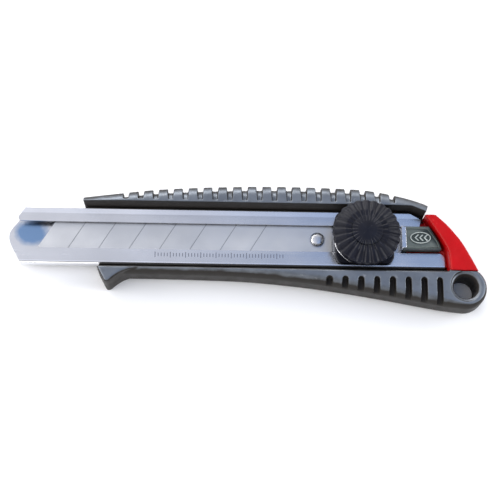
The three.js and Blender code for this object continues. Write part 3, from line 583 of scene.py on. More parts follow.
def zinc_steel():
    """Dull plated steel of the small inner parts."""
    zinc = Surface("zinc_steel", 1.0)
    zinc.colour(zinc.tones(zinc.noise(500, 4), (0.5, 0.51, 0.53), (0.66, 0.67, 0.7)))
    zinc.patchy(zinc.noise(900, 4, seed=3.0), 0.22, 0.38)
    zinc.bump(zinc.spots(2600), 0.01, 0.3)
    return zinc.material


def brass():
    """Turned brass with fine tool rings."""
    metal = Surface("brass", 1.0)
    metal.colour(metal.tones(metal.noise(700, 4), (0.62, 0.42, 0.16), (0.78, 0.57, 0.25)))
    metal.patchy(metal.noise(900, 3, seed=3.0), 0.25, 0.4)
    metal.bump(metal.noise(3000, 2, stretch=(0.2, 0.2, 3)), 0.01, 0.4)
    return metal.material


def black_plastic():
    """Moulded near-black nylon: slight blue, fine texture, polished and paler where it is held."""
    plastic = Surface("black_plastic", 0.0, Specular_IOR_Level=0.22)
    low, high = (0.0025, 0.003, 0.0075), (0.005, 0.006, 0.013)
    tone = plastic.tones(plastic.noise(300, 5), low, high, 0.35, 0.7)
    scuffs = plastic.ramp(plastic.noise(1200, 5, seed=6.0), 0.4, 0.65, 0.1, 0.9)
    worn = plastic.times(plastic.edges(0.52, 0.62), scuffs)
    plastic.colour(plastic.mix(worn, tone, (0.03, 0.032, 0.042)))
    plastic.patchy(plastic.noise(500, 5, seed=2.0), 0.33, 0.48)
    plastic.bump(plastic.noise(6500, 2, seed=4.0), 0.02, 0.45)
    plastic.bump(plastic.spots(3200), 0.01, 0.2)
    return plastic.material


def red_plastic():
    """Glossy red moulding with light wear on its edges."""
    plastic = Surface("red_plastic", 0.0, Specular_IOR_Level=0.2)
    tone = plastic.tones(plastic.noise(140, 4), (0.34, 0.0015, 0.0025), (0.42, 0.003, 0.005))
    scuffs = plastic.ramp(plastic.noise(900, 5, seed=5.0), 0.45, 0.7, 0.0, 0.5)
    worn = plastic.times(plastic.edges(0.53, 0.62), scuffs)
    plastic.colour(plastic.mix(worn, tone, (0.72, 0.07, 0.06)))
    plastic.patchy(plastic.noise(420, 5, seed=2.0), 0.28, 0.42)
    plastic.bump(plastic.noise(4200, 2, seed=4.0), 0.015, 0.3)
    return plastic.material


def dark_plastic():
    """Green-black plug moulding."""
    plastic = Surface("dark_plastic", 0.0)
    tone = plastic.tones(plastic.noise(500, 4), (0.006, 0.012, 0.011), (0.012, 0.021, 0.019))
    worn = plastic.times(plastic.edges(0.52, 0.6), 0.6)
    plastic.colour(plastic.mix(worn, tone, (0.16, 0.19, 0.18)))
    plastic.patchy(plastic.noise(700, 4, seed=2.0), 0.3, 0.45)
    plastic.bump(plastic.noise(5200, 2, seed=4.0), 0.015, 0.4)
    return plastic.material


def emblem_paint():
    """Pale print on the raised strokes, the badge's dark floor between them."""
    paint = Surface("emblem_paint", 0.0)
    raised = paint.ramp(paint.along("Z"), emblem_high.z - 0.12 * MM, emblem_high.z - 0.06 * MM)
    chipped = paint.times(raised, paint.ramp(paint.noise(2600, 4, seed=6.0), 0.28, 0.42, 0.5, 1.0))
    pale = paint.tones(paint.noise(1500, 4), (0.3, 0.34, 0.33), (0.46, 0.5, 0.48))
    floor = paint.mix(paint.noise(900, 3), (0.02, 0.032, 0.03), (0.035, 0.05, 0.046))
    paint.colour(paint.mix(chipped, floor, pale))
    paint.patchy(paint.noise(1200, 3, seed=2.0), 0.35, 0.5)
    paint.bump(paint.noise(6000, 2, seed=4.0), 0.01, 0.4)
    return paint.material


materials = {
    "cast_paint": cast_paint(),
    "stainless": stainless(),
    "blade_steel": blade_steel(),
    "zinc_steel": zinc_steel(),
    "brass": brass(),
    "black_plastic": black_plastic(),
    "red_plastic": red_plastic(),
    "dark_plastic": dark_plastic(),
    "emblem_paint": emblem_paint(),
}

slots = {row["node"]: row["material_slot"] for row in frame["record"]["subparts"]}


def finish_node(node):
    """Gives a CAD node the material of its slot."""
    shown = frame["nodes"][node]
    for slot in shown.material_slots:
        slot.material = materials[slots[node]]
    if not shown.material_slots:
        shown.data.materials.append(materials[slots[node]])


def stand_for(piece, body, node):
    """The piece takes the CAD node's place, on its body, in its finish."""
    piece.data.materials.clear()
    piece.data.materials.append(materials[slots[node]])
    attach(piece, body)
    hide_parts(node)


# ---- Handle casting ----

POCKET_HALF = CHANNEL_OUTER + 0.3
RAIL_NOSE_X = -54.8
RAIL_ROUND = 4.2
GRIP_ROUND = 3.6
GRIP_INNER_SLOPE = 2.3
GUARD_NOSE_X = -49.4
GUARD_TIP = (-46.1, -17.3)
TOOTH_COUNT = 18
FIRST_TOOTH_X = -38.4
LAST_TOOTH_X = 44.4
NOTCH_WIDTH = 1.9
NOTCH_DEPTH = 1.2
NOTCH_FOOT_Y = 10.9
SLOT_COUNT = 8
FIRST_SLOT_X = 25.8
SLOT_PITCH = 5.1
SLOT_WIDTH = 1.9
SLOT_DEPTH = 2.7
SLOT_TOP_Y = -14.3
LUG_TOP_Y = -11.8
LUG_START_X = 65
LUG_TAPER = 4
TAIL_R = 7.17
HANG_HOLE = (70.1, -16.9)
HANG_HOLE_R = 3.9
HANG_HOLE_RIM = 1.2
HANG_HOLE_FRONT = 11.1  # height of the lug's front at the hole
LUG_TAPER_START_X = 59
GUARD_ROUND = 0.8
GUARD_END_X = -36
RAIL_CREST = [
    (RAIL_NOSE_X, 12.1), (-42.9, 13.7), (-29.7, 15.3), (-9.9, 16.5), (9.9, 17), (29.7, 16.7),
    (40, 16), (49.5, 14.2), (56.1, 12.3), (60, 10.4), (66, 5),
]
RAIL_INNER_Y = -6  # runs on under the channel
HOOK_START_X = 53.2  # where the rail's end leans over the end cap
HOOK_TIP = [(59.4, 12), (57.9, 8.2)]
HOOK_UNDERSIDE = [(58.6, 7.9), (90, 6)]
GRIP_UNDERSIDE = [
    (-34, -13.9), (-16.5, -14.1), (0, -14.6), (16.5, -16), (29.7, -17.7), (43, -19.8),
    (56, -22.1), (63, -23.3),
]
GRIP_INNER_Y = -4
CAST_VOXEL = 0.2

TAIL_LINE = [(57.6, 7), (60, 3.4), (62.9, -1.4), (64.7, -5.6), (65.1, LUG_TOP_Y)]


def tail_line(shift):
    return [(x + shift, y) for x, y in spline(TAIL_LINE, 5)]


def rail_outline():
    start = (RAIL_NOSE_X - 3 * RAIL_ROUND, 10.5)
    return [(72, RAIL_INNER_Y), (start[0], RAIL_INNER_Y), start] + spline(RAIL_CREST, 6)


def notch_tools():
    pitch = (LAST_TOOTH_X - FIRST_TOOTH_X) / (TOOTH_COUNT - 1)
    tools = []
    for index in range(TOOTH_COUNT + 1):
        middle = FIRST_TOOTH_X + (index - 0.5) * pitch
        half, crest = NOTCH_WIDTH / 2, POCKET_HALF + 2 * NOTCH_DEPTH
        outline = [
            (middle - half * 0.8, NOTCH_FOOT_Y), (middle + half * 0.8, NOTCH_FOOT_Y),
            (middle + half * 0.92, crest), (middle + half * 1.25, crest + 8),
            (middle - half * 1.25, crest + 8), (middle - half * 0.92, crest),
        ]
        tools.append(prism("notch", outline, -1, RAIL_HEIGHT + 1))
    return merged("notches", tools)


def ribbed_rail():
    rail = rounded_prism("rail", rail_outline(), 0, RAIL_HEIGHT, RAIL_ROUND, 10)
    core_round = RAIL_ROUND - NOTCH_DEPTH / 2
    core_outline = inset(anticlockwise(without_doubles(rail_outline())), NOTCH_DEPTH)
    core_top = RAIL_HEIGHT - NOTCH_DEPTH
    core = rounded_prism("core", core_outline, NOTCH_DEPTH, core_top, core_round, 10)
    notches = combine(notch_tools(), "DIFFERENCE", core)
    nose = block("nose", -100, RAIL_NOSE_X, -20, 40, -1, 20)
    tail = HOOK_TIP + [(HOOK_START_X, POCKET_HALF), (HOOK_START_X, -30), (90, -30), (90, 12)]
    return combine(rail, "DIFFERENCE", notches, nose, prism("hook", tail, -1, 20))


def grip_outline():
    far_left = GUARD_NOSE_X - 3 * GRIP_ROUND
    tail = arc(*HANG_HOLE, TAIL_R, -100, 45, 28)
    front = [(far_left, GRIP_INNER_Y), (far_left, GRIP_UNDERSIDE[0][1])]
    return front + spline(GRIP_UNDERSIDE, 6) + tail + [(66, GRIP_INNER_Y)]


def finger_guard():
    tip_x, tip_y = GUARD_TIP
    nose = [(GUARD_NOSE_X, -5), (GUARD_NOSE_X, -12.2), (tip_x - 0.9, tip_y + 0.6)]
    tip = bezier(nose[-1], (tip_x - 0.5, tip_y - 0.1), (tip_x + 0.3, tip_y - 0.1),
                 (tip_x + 1, tip_y + 0.4), 6)
    hollow = bezier(tip[-1], (-42.6, -14.6), (-41, -13.3), (GUARD_END_X, -12.4), 12)
    outline = nose + tip + hollow + [(GUARD_END_X, -5)]
    return rounded_prism("guard", outline, 0, RAIL_HEIGHT, GUARD_ROUND, 4)


def slot_tools():
    tools = []
    for index in range(SLOT_COUNT):
        middle = FIRST_SLOT_X + index * SLOT_PITCH
        half = SLOT_WIDTH / 2
        outline = [(middle - half, -40), (middle + half, -40)]
        outline += arc(middle, SLOT_TOP_Y - half, half, 0, 180, 10)
        tools.append(prism("slot", outline, RAIL_HEIGHT - SLOT_DEPTH, RAIL_HEIGHT + 1))
    return merged("slots", tools)


def hang_hole_tool():
    mouth = HANG_HOLE_R + HANG_HOLE_RIM
    lower = [
        (mouth - HANG_HOLE_RIM * math.sin(angle), HANG_HOLE_RIM * (1 - math.cos(angle)))
        for angle in (math.pi / 2 * step / 6 for step in range(7))
    ]
    upper = [(radius, HANG_HOLE_FRONT - height) for radius, height in reversed(lower)]
    above = RAIL_HEIGHT + 1
    profile = [(0, -1), (mouth, -1)] + lower + upper + [(mouth, above), (0, above)]
    return turned("hang_hole", *HANG_HOLE, profile, 72)


def seat_tool():
    wall_foot, wall_top = -POCKET_HALF, -POCKET_HALF - GRIP_INNER_SLOPE
    section = [
        (wall_foot, BACK_PLATE), (POCKET_HALF, BACK_PLATE), (POCKET_HALF, 20), (wall_top, 20),
        (wall_top, RAIL_HEIGHT), (wall_foot, LIP_TOP - SHEET),
    ]
    hook = [(HOOK_START_X, POCKET_HALF)] + HOOK_UNDERSIDE + [(90, 30), (HOOK_START_X, 30)]
    seat = bar("seat", section, -90, LUG_START_X)
    return combine(seat, "DIFFERENCE", prism("under_hook", hook, -1, 30))


def bay_tool():
    outline = tail_line(0) + [(90, LUG_TOP_Y)] + HOOK_UNDERSIDE[::-1] + [(56.2, 8.3)]
    return prism("bay", outline, -1, 30)


def taper_tool():
    """A wedge over the lug, so that its front falls towards the tail."""
    start, end = LUG_TAPER_START_X, LUG_TAPER_START_X + 60
    far_height = RAIL_HEIGHT - 60 * math.tan(math.radians(LUG_TAPER))
    section = [(start, RAIL_HEIGHT), (end, far_height), (end, 30), (start, 30)]
    points = [(x, y, z) for y in (-50, 10) for x, z in section]
    faces = [(0, 1, 2, 3), (7, 6, 5, 4)]
    faces += [(i, (i + 1) % 4, 4 + (i + 1) % 4, 4 + i) for i in range(4)]
    return mesh_object("taper", points, faces)


def rivet_holes(profile):
    return [turned("rivet_hole", x, 0, profile, 48) for x in RIVET_XS]


def handle_casting():
    grip = rounded_prism("grip", grip_outline(), 0, RAIL_HEIGHT, GRIP_ROUND, 10)
    combine(grip, "DIFFERENCE", block("grip_nose", -100, GUARD_NOSE_X + 1, -40, 0, -1, 20))
    back_outline = [
        (GUARD_NOSE_X, -12), (66, -12), (66, GRIP_INNER_Y), (57, 11.5), (RAIL_NOSE_X + 1, 11.5)
    ]
    back = prism("back", back_outline, 0, BACK_PLATE)
    casting = combine(ribbed_rail(), "UNION", grip, finger_guard(), back)
    head, shank, floor = RIVET_HEAD_R + RIVET_PLAY, RIVET_R + RIVET_PLAY, 0.95
    bore = [(0, -1), (head, -1), (head, floor), (shank, floor), (shank, 5), (0, 5)]
    combine(casting, "DIFFERENCE", seat_tool(), bay_tool(), taper_tool(), hang_hole_tool(),
            slot_tools(), *rivet_holes(bore))
    casting.name = casting.data.name = "casting_skin"
    softened(casting, CAST_VOXEL, 4, 0.35)
    stand_for(casting, "handle", "handle_casting")


# ---- Blade channel ----

UPPER_LIP_Y = CHANNEL_OUTER - 5.1
LOWER_LIP_Y = 5.3 - CHANNEL_OUTER
BEND_R = 1.1
LIP_NOSE_X = -73.8
LIP_NOSE_SLANT = 2.5
WEB_NOSE_SLANT = 5
UPPER_LIP_TAIL_X = 52.3
UPPER_LIP_END_X = 57
LOWER_LIP_END_X = 64.4
LIP_CORNER_R = 2
LIP_LIFT = 0.24  # the upper lip climbs a little towards its bend
CREST_R = 0.65  # outside of that bend


def channel_section():
    outer, inner = CHANNEL_OUTER, CHANNEL_OUTER - SHEET
    tight = BEND_R - SHEET
    low, high = WEB_LOW, LIP_TOP
    right = arc(outer - BEND_R, low + BEND_R, BEND_R, -90, 0, 10)
    right += arc(outer - CREST_R, high - CREST_R + LIP_LIFT, CREST_R, 0, 98, 8)
    right += [(outer - 2.2, high + 0.02), (outer - 2.5, high), (UPPER_LIP_Y, high)]
    right += [(UPPER_LIP_Y, high - SHEET)]
    right += arc(inner - tight, high - SHEET - tight, tight, 90, 0, 6)
    right += arc(inner - tight, low + SHEET + tight, tight, 0, -90, 6)
    left = arc(-inner + tight, low + SHEET + tight, tight, -90, -180, 6)
    left += arc(-inner + tight, high - SHEET - tight, tight, 180, 90, 6)
    left += [(LOWER_LIP_Y, high - SHEET), (LOWER_LIP_Y, high)]
    left += arc(-outer + BEND_R, high - BEND_R, BEND_R, 90, 180, 10)
    left += arc(-outer + BEND_R, low + BEND_R, BEND_R, 180, 270, 10)
    return right + left


def web_outline():
    edge = CHANNEL_OUTER + 1
    nose = bezier((WEB_NOSE_X + 1.1, -3.4), (WEB_NOSE_X - 0.2, -1), (WEB_NOSE_X - 0.3, 1),
                  (WEB_NOSE_X + 0.8, 2.6), 12)
    return (
        [(WEB_NOSE_X + WEB_NOSE_SLANT + 0.4, -edge), (WEB_NOSE_X + 1.1, -3.4)]
        + nose
        + [(LIP_NOSE_X - LIP_NOSE_SLANT, 6.1), (LIP_NOSE_X + 0.6, edge), (UPPER_LIP_TAIL_X, edge)]
        + tail_line(-0.6)
    )


def lips_outline():
    edge = CHANNEL_OUTER + 1
    front, rear = LIP_NOSE_X - 1.6, UPPER_LIP_END_X - 0.6
    corner_x, corner_y = LOWER_LIP_END_X - LIP_CORNER_R, LOWER_LIP_Y - LIP_CORNER_R
    return [
        (WEB_NOSE_X + WEB_NOSE_SLANT + 0.4, -edge), (WEB_NOSE_X + 1.1, -3.4),
        (front, 0), (front, UPPER_LIP_Y),
        *bezier((front, UPPER_LIP_Y), (LIP_NOSE_X - 2.5, UPPER_LIP_Y + 0.1),
                (LIP_NOSE_X - 2.7, UPPER_LIP_Y + 0.8), (LIP_NOSE_X - LIP_NOSE_SLANT, 6.3), 8),
        (LIP_NOSE_X + 0.6, edge), (UPPER_LIP_TAIL_X - 1, edge),
        (UPPER_LIP_TAIL_X, CHANNEL_OUTER), (UPPER_LIP_END_X, 7.2),
        (rear, UPPER_LIP_Y - 0.2), (rear, 0), (corner_x, 0),
        *arc(corner_x, corner_y, LIP_CORNER_R, 90, 0, 12),
        (LOWER_LIP_END_X, -edge),
    ]


TICK_COUNT = 43
FIRST_TICK_X = -31
TICK_HALF_WIDTH = 0.14
LONG_TICK = 1.9
SHORT_TICK = 1.2


def ruler_tool():
    """Shallow stamped ticks on the lower lip, a millimetre apart, every fifth one longer."""
    ticks = []
    for index in range(TICK_COUNT):
        x = FIRST_TICK_X + index
        reach = (LONG_TICK if index % 5 == 0 else SHORT_TICK) / 2
        ticks.append(block(
            "tick", x - TICK_HALF_WIDTH, x + TICK_HALF_WIDTH, TICK_ROW_Y - reach,
            TICK_ROW_Y + reach, LIP_TOP - TICK_DEPTH, LIP_TOP + 1,
        ))
    return merged("ticks", ticks)


def blade_channel():
    middle = WEB_LOW + SHEET + 0.1
    outline = prism("web", web_outline(), 0, middle)
    combine(outline, "UNION", prism("lips", lips_outline(), middle - 0.02, LIP_TOP + 1))
    channel = combine(bar("channel_skin", channel_section(), -90, 80), "INTERSECT", outline)
    shank, flare = RIVET_R + RIVET_PLAY, RIVET_R + RIVET_FLARE + RIVET_PLAY
    bore = [(0, 0), (shank, 0), (shank, 2.36), (flare, 2.9), (flare, 5), (0, 5)]
    combine(channel, "DIFFERENCE", *rivet_holes(bore))
    eased(channel, 0.1, 2, 35)
    combine(channel, "DIFFERENCE", ruler_tool())
    shaded(channel, 25)
    stand_for(channel, "handle", "blade_channel")


# ---- Knob ----

FLUTES = 24
FLUTE_SHARE = 0.56  # of the pitch
FLUTE_INNER_R = 3
FLUTE_DEPTH = 0.4
FLUTE_FADE = 0.6  # how fast the flutes die out towards the middle
FLUTE_STEPS = 16
KNOB_RIM = (RAIL_HEIGHT + 0.4, RAIL_HEIGHT + 2.7)  # heights of the fluted rim
RIM_LOW_ROUND = 0.5
RIM_TOP_ROUND = 0.9
CROWN_EDGE_R = KNOB_R - RIM_TOP_ROUND
KNOB_BORE_R = 2.8
INSERT_SEAT_R = 4.1
KNOB_WALL = 0.8
DOME_PLAY = 0.06


def knob_crown(radius):
    """Height of the domed top, from the rim's inner edge to the middle."""
    crown = dome_high.z / MM
    return KNOB_RIM[1] + (crown - KNOB_RIM[1]) * (1 - (radius / CROWN_EDGE_R) ** 2)


def flute_depth(radius):
    """Depth of the flutes on the crown; they die out towards the middle."""
    reach = (radius - FLUTE_INNER_R) / (CROWN_EDGE_R - FLUTE_INNER_R)
    return FLUTE_DEPTH * max(0.0, reach) ** FLUTE_FADE


def knob_profile():
    """(radius, height, how deep the flutes cut down, how deep they cut in) round the section."""
    low, top = knob_low.z / MM, knob_high.z / MM
    rim_low, rim_top = KNOB_RIM
    skirt = CHANNEL_OUTER - 0.6
    profile = [
        (KNOB_BORE_R, low, 0, 0), (skirt - 0.5, low, 0, 0), (skirt - 0.15, low + 0.15, 0, 0),
        (skirt, low + 0.5, 0, 0), (skirt, rim_low - 0.1, 0, 0), (skirt + 0.2, rim_low, 0, 0),
        (KNOB_R - 0.7, rim_low, 0, 0.2),
    ]
    middle = (KNOB_R - RIM_LOW_ROUND, rim_low + RIM_LOW_ROUND)
    profile += [(*point, 0, 0.3) for point in arc(*middle, RIM_LOW_ROUND, -90, 0, 6)]
    for step in range(9):
        angle = math.radians(76) * step / 8
        profile.append((
            CROWN_EDGE_R + RIM_TOP_ROUND * math.cos(angle),
            rim_top - RIM_TOP_ROUND + RIM_TOP_ROUND * math.sin(angle),
            0.34 * math.sin(angle), 0.32 * math.cos(angle),
        ))
    inner = DOME_R + DOME_PLAY
    for step in range(1, 25):
        radius = CROWN_EDGE_R + (inner - CROWN_EDGE_R) * step / 24
        profile.append((radius, min(knob_crown(radius), top), flute_depth(radius), 0))
    seam = min(knob_crown(inner), top) - flute_depth(inner)
    wall, floor, roof = inner - 0.01, low + KNOB_WALL, top - KNOB_WALL
    return profile + [
        (wall, seam - 0.2, 0, 0), (wall, roof, 0, 0), (INSERT_SEAT_R, roof, 0, 0),
        (INSERT_SEAT_R, floor, 0, 0), (KNOB_BORE_R, floor, 0, 0),
    ]


def fluted(name, profile, closed):
    """A turned knob part whose rows dip at every flute by their own two depths."""
    count = FLUTES * FLUTE_STEPS
    points = []
    for radius, height, down, inward in profile:
        for index in range(count):
            offset = abs((index / FLUTE_STEPS) % 1 - 0.5)
            groove = max(0.0, 1 - (offset / (FLUTE_SHARE / 2)) ** 2)
            angle = 2 * math.pi * index / count
            reach = radius - inward * groove
            points.append((
                KNOB_X + reach * math.cos(angle), reach * math.sin(angle), height - down * groove
            ))
    faces = []
    for ring in range(len(profile) if closed else len(profile) - 1):
        start, end = ring * count, (ring + 1) % len(profile) * count
        for index in range(count):
            following = (index + 1) % count
            faces.append((start + index, start + following, end + following, end + index))
    if not closed:
        top = (len(profile) - 1) * count
        faces += [tuple(reversed(range(count))), tuple(range(top, top + count))]
    return shaded(mesh_object(name, points, faces), 50)


def knob_skin():
    stand_for(fluted("knob_skin", knob_profile(), True), "dial", "knob")


def knob_dome():
    """The middle of the crown, which hides the insert; the flutes die out on it."""
    low, top = dome_low.z / MM, dome_high.z / MM
    profile = [(DOME_R - 0.05, low, 0, 0), (DOME_R, low + 0.05, 0, 0)]
    for step in range(25):
        reach = DOME_R + (0.3 - DOME_R) * step / 24
        profile.append((reach, min(knob_crown(reach), top), flute_depth(reach), 0))
    dome = fluted("dome_skin", profile, False)
    stand_for(dome, "dial", "knob_cap")


# ---- Slide ----

SHOE_BORE_R = 2.6
WASHER_BORE_R = 2.8
PIN_DOME_RISE = 0.75


def bolt_bore(radius):
    """A cutter for the clamp bolt's hole."""
    return turned("bolt_hole", KNOB_X, 0, [(0, 0), (radius, 0), (radius, 20), (0, 20)], 48)


def slide_shoe():
    low, high = from_datum(shoe_low), from_datum(shoe_high)
    top_low = LIP_TOP + RUN_GAP
    outline = rounded_rectangle(low.x, high.x, low.y, high.y, 3)
    shoe = rounded_prism("shoe_skin", outline, top_low, high.z, 0.5, 5)
    neck = block("neck", low.x + 1, high.x - 1, LOWER_LIP_Y + RUN_GAP, UPPER_LIP_Y - RUN_GAP,
                 low.z, top_low + 0.8)
    combine(shoe, "UNION", neck)
    combine(shoe, "DIFFERENCE", bolt_bore(SHOE_BORE_R))
    shaded(shoe, 35)
    stand_for(shoe, "carrier", "slide_shoe")


def clamp_washer():
    low, high = from_datum(washer_low), from_datum(washer_high)
    radius = (high.x - low.x) / 2
    reach = math.degrees(math.asin(high.y / radius))
    outline = arc(KNOB_X, 0, radius, -reach, reach, 40)
    outline += arc(KNOB_X, 0, radius, 180 - reach, 180 + reach, 40)
    washer = rounded_prism("washer_skin", outline, low.z, high.z, 0.16, 3)
    combine(washer, "DIFFERENCE", bolt_bore(WASHER_BORE_R))
    shaded(washer, 35)
    stand_for(washer, "clamp", "clamp_washer")


def blade_pin():
    low, high = from_datum(pin_low), from_datum(pin_high)
    centre = (low + high) / 2
    radius = (high.x - low.x) / 2
    foot = high.z - PIN_DOME_RISE
    profile = [(0, low.z), (radius, low.z), (radius, foot)]
    for step in range(1, 11):
        angle = math.pi / 2 * step / 10
        profile.append((radius * math.cos(angle) ** 0.75, foot + PIN_DOME_RISE * math.sin(angle)))
    profile[-1] = (0, high.z)
    pin = shaded(turned("pin_skin", centre.x, centre.y, profile, 64), 50)
    stand_for(pin, "carrier", "blade_pin")


# ---- End cap ----

CAP_ROUND = 0.8
TONGUE_START_X = 52
GROOVE_WIDTH = 0.7  # in the tongue, along the plug's lower edge
GROOVE_DEPTH = 1.9
GROOVE_END_X = 63.5
PLUG_BORDER = 0.8
PLUG_SUNK = 0.4
EMBLEM_RING = 0.32
CHEVRONS = 3
CHEVRON_PITCH = 1.5
CHEVRON_STROKE = 0.34
CLIP_SHEET = 0.4


def cap_outline():
    inner = tail_line(RUN_GAP)
    outer = spline([
        (74.6, LUG_TOP_Y + RUN_GAP), (72.5, -7.3), (69.4, -1.6), (65.1, 3.9), (61.1, 7.7)
    ], 6)
    upper = [(x, y) for x, y in inner if y > LUG_TOP_Y + 0.5]
    lower = [(inner[-1][0], LUG_TOP_Y - 4), (77, LUG_TOP_Y - 4)]
    return lower + outer + [(57, 13), (53, 14)] + upper


def end_cap():
    heights = cap_low.z / MM, cap_high.z / MM
    cap = rounded_prism("end_cap_skin", cap_outline(), *heights, CAP_ROUND, 6)
    side = CHANNEL_OUTER - SHEET - RUN_GAP
    low, high = WEB_LOW + SHEET + RUN_GAP, LIP_TOP - SHEET - RUN_GAP
    tongue = [
        (TONGUE_START_X, -side), (66.5, -side), (66.5, -4), (61, 4.8), (58.5, side - 2.8),
        (TONGUE_START_X, side - 2.8),
    ]
    combine(cap, "DIFFERENCE",
            block("below", 40, 90, -40, LUG_TOP_Y + RUN_GAP, -1, 20),
            block("above", 40, 90, 7.5, 40, -1, 20))
    combine(cap, "UNION", prism("tongue", tongue, low, high))
    plug_edge = from_datum(plug_low).y
    combine(cap, "DIFFERENCE",
            block("groove", TONGUE_START_X - 2, GROOVE_END_X, plug_edge - GROOVE_WIDTH,
                  plug_edge - 0.02, high - GROOVE_DEPTH, 20))
    softened(cap, CAST_VOXEL, 4, 0.5)
    stand_for(cap, "tail_cap", "end_cap")


def plug_outline(reach):
    """The plug seen from above, drawn in by reach."""
    low, high = from_datum(plug_low), from_datum(plug_high)
    slant = [(x - RUN_GAP, y) for x, y in TAIL_LINE]
    return [
        (low.x + reach, low.y + reach),
        (slant[3][0] - 1.4 - reach, low.y + reach),
        (slant[2][0] - 0.4 - reach, -1.4 + reach / 2),
        (slant[1][0] - reach, high.y - 0.9 - reach / 2),
        (slant[1][0] - 0.6 - reach, high.y - reach),
        (low.x + reach, high.y - reach),
    ]


def cap_plug():
    low, high = from_datum(plug_low), from_datum(plug_high)
    plug = prism("plug_skin", plug_outline(0), low.z, high.z)
    recess = prism("recess", plug_outline(PLUG_BORDER), high.z - PLUG_SUNK, high.z + 1)
    combine(plug, "DIFFERENCE", recess)
    eased(plug, 0.22, 3, 30)
    stand_for(plug, "tail_cap", "cap_plug")


def cap_emblem():
    """A thin oval ring round three chevrons, standing on the plug's floor."""
    low, high = from_datum(emblem_low), from_datum(emblem_high)
    centre = (low + high) / 2
    half_x, half_y = (high.x - low.x) / 2, (high.y - low.y) / 2

    def oval(inwards):
        wide, tall = half_x - inwards, half_y - inwards
        turns = [2 * math.pi * step / 64 for step in range(64)]
        return [(centre.x + wide * math.cos(a), centre.y + tall * math.sin(a)) for a in turns]

    ring = rounded_prism("emblem_skin", oval(0), low.z, high.z, 0.08, 3)
    combine(ring, "DIFFERENCE", prism("hollow", oval(EMBLEM_RING), low.z + 0.04, high.z + 1))
    reach, depth, across = half_y * 0.52, half_y * 0.5, CHEVRON_STROKE * 1.5
    top, bottom = centre.y + reach, centre.y - reach
    for index in range(CHEVRONS):
        tip = centre.x - depth / 2 + (index - 1) * CHEVRON_PITCH
        chevron = [
            (tip, centre.y), (tip + depth, top), (tip + depth + across, top),
            (tip + across, centre.y), (tip + depth + across, bottom), (tip + depth, bottom),
        ]
        combine(ring, "UNION", prism("chevron", chevron, low.z, high.z - 0.02))
    shaded(ring, 40)
    stand_for(ring, "tail_cap", "cap_emblem")


def cap_clip():
    low, high = from_datum(clip_low), from_datum(clip_high)
    hook_y = (low.y + 0.3, high.y - 0.3)
    clip = block("clip_skin", low.x, low.x + CLIP_SHEET, low.y, high.y, low.z, high.z)
    hook = block("clip_hook", low.x, high.x, *hook_y, high.z - CLIP_SHEET, high.z)
    combine(clip, "UNION", hook)
    eased(clip, 0.12, 3, 30)
    stand_for(clip, "tail_cap", "cap_clip")


# ---- Rivet heads on the back ----

RIVET_HEAD_RISE = 0.25
RIVET_HEAD_TOP = 0.8


def channel_rivets():
    top, flare = WEB_LOW + SHEET, RIVET_R + RIVET_FLARE
    for index, x in enumerate(RIVET_XS):
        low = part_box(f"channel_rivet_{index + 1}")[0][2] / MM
        profile = []
        for step in range(9):
            angle = math.pi / 2 * step / 8
            height = low + RIVET_HEAD_RISE * (1 - math.cos(angle))
            profile.append((RIVET_HEAD_R * math.sin(angle), height))
        profile += [(RIVET_HEAD_R, RIVET_HEAD_TOP), (RIVET_R, RIVET_HEAD_TOP)]
        profile += [(RIVET_R, top - RIVET_FLARE), (flare, top), (0, top)]
        rivet = shaded(turned(f"rivet_skin_{index + 1}", x, 0, profile, 48), 40)
        stand_for(rivet, "handle", f"channel_rivet_{index + 1}")


# ---- Stage, light and camera ----


def stage():
    floor_mesh = bpy.data.meshes.new("floor")
    reach = 1.5
    corners = [(-reach, -reach, 0), (reach, -reach, 0), (reach, reach, 0), (-reach, reach, 0)]
    floor_mesh.from_pydata(corners, [], [(0, 1, 2, 3)])
    floor = linked("floor", floor_mesh)
    pale = Surface("floor_paper", 0.0)
    pale.colour(pale.tones(pale.noise(8, 3), (0.93, 0.93, 0.93), (0.95, 0.95, 0.95), 0.3, 0.7))
    pale.patchy(pale.noise(40, 3, seed=2.0), 0.75, 0.85)
    floor_mesh.materials.append(pale.material)


def area_light(name, place, size, power, colour):
    """A lamp that shines on the middle of the floor."""
    light = bpy.data.lights.new(name, "AREA")
    light.shape = "RECTANGLE"
    light.size, light.size_y = size
    light.energy = power
    light.color = colour
    lamp = linked(name, light)
    lamp.location = place
    lamp.rotation_euler = (-Vector(place)).to_track_quat("-Z", "Y").to_euler()


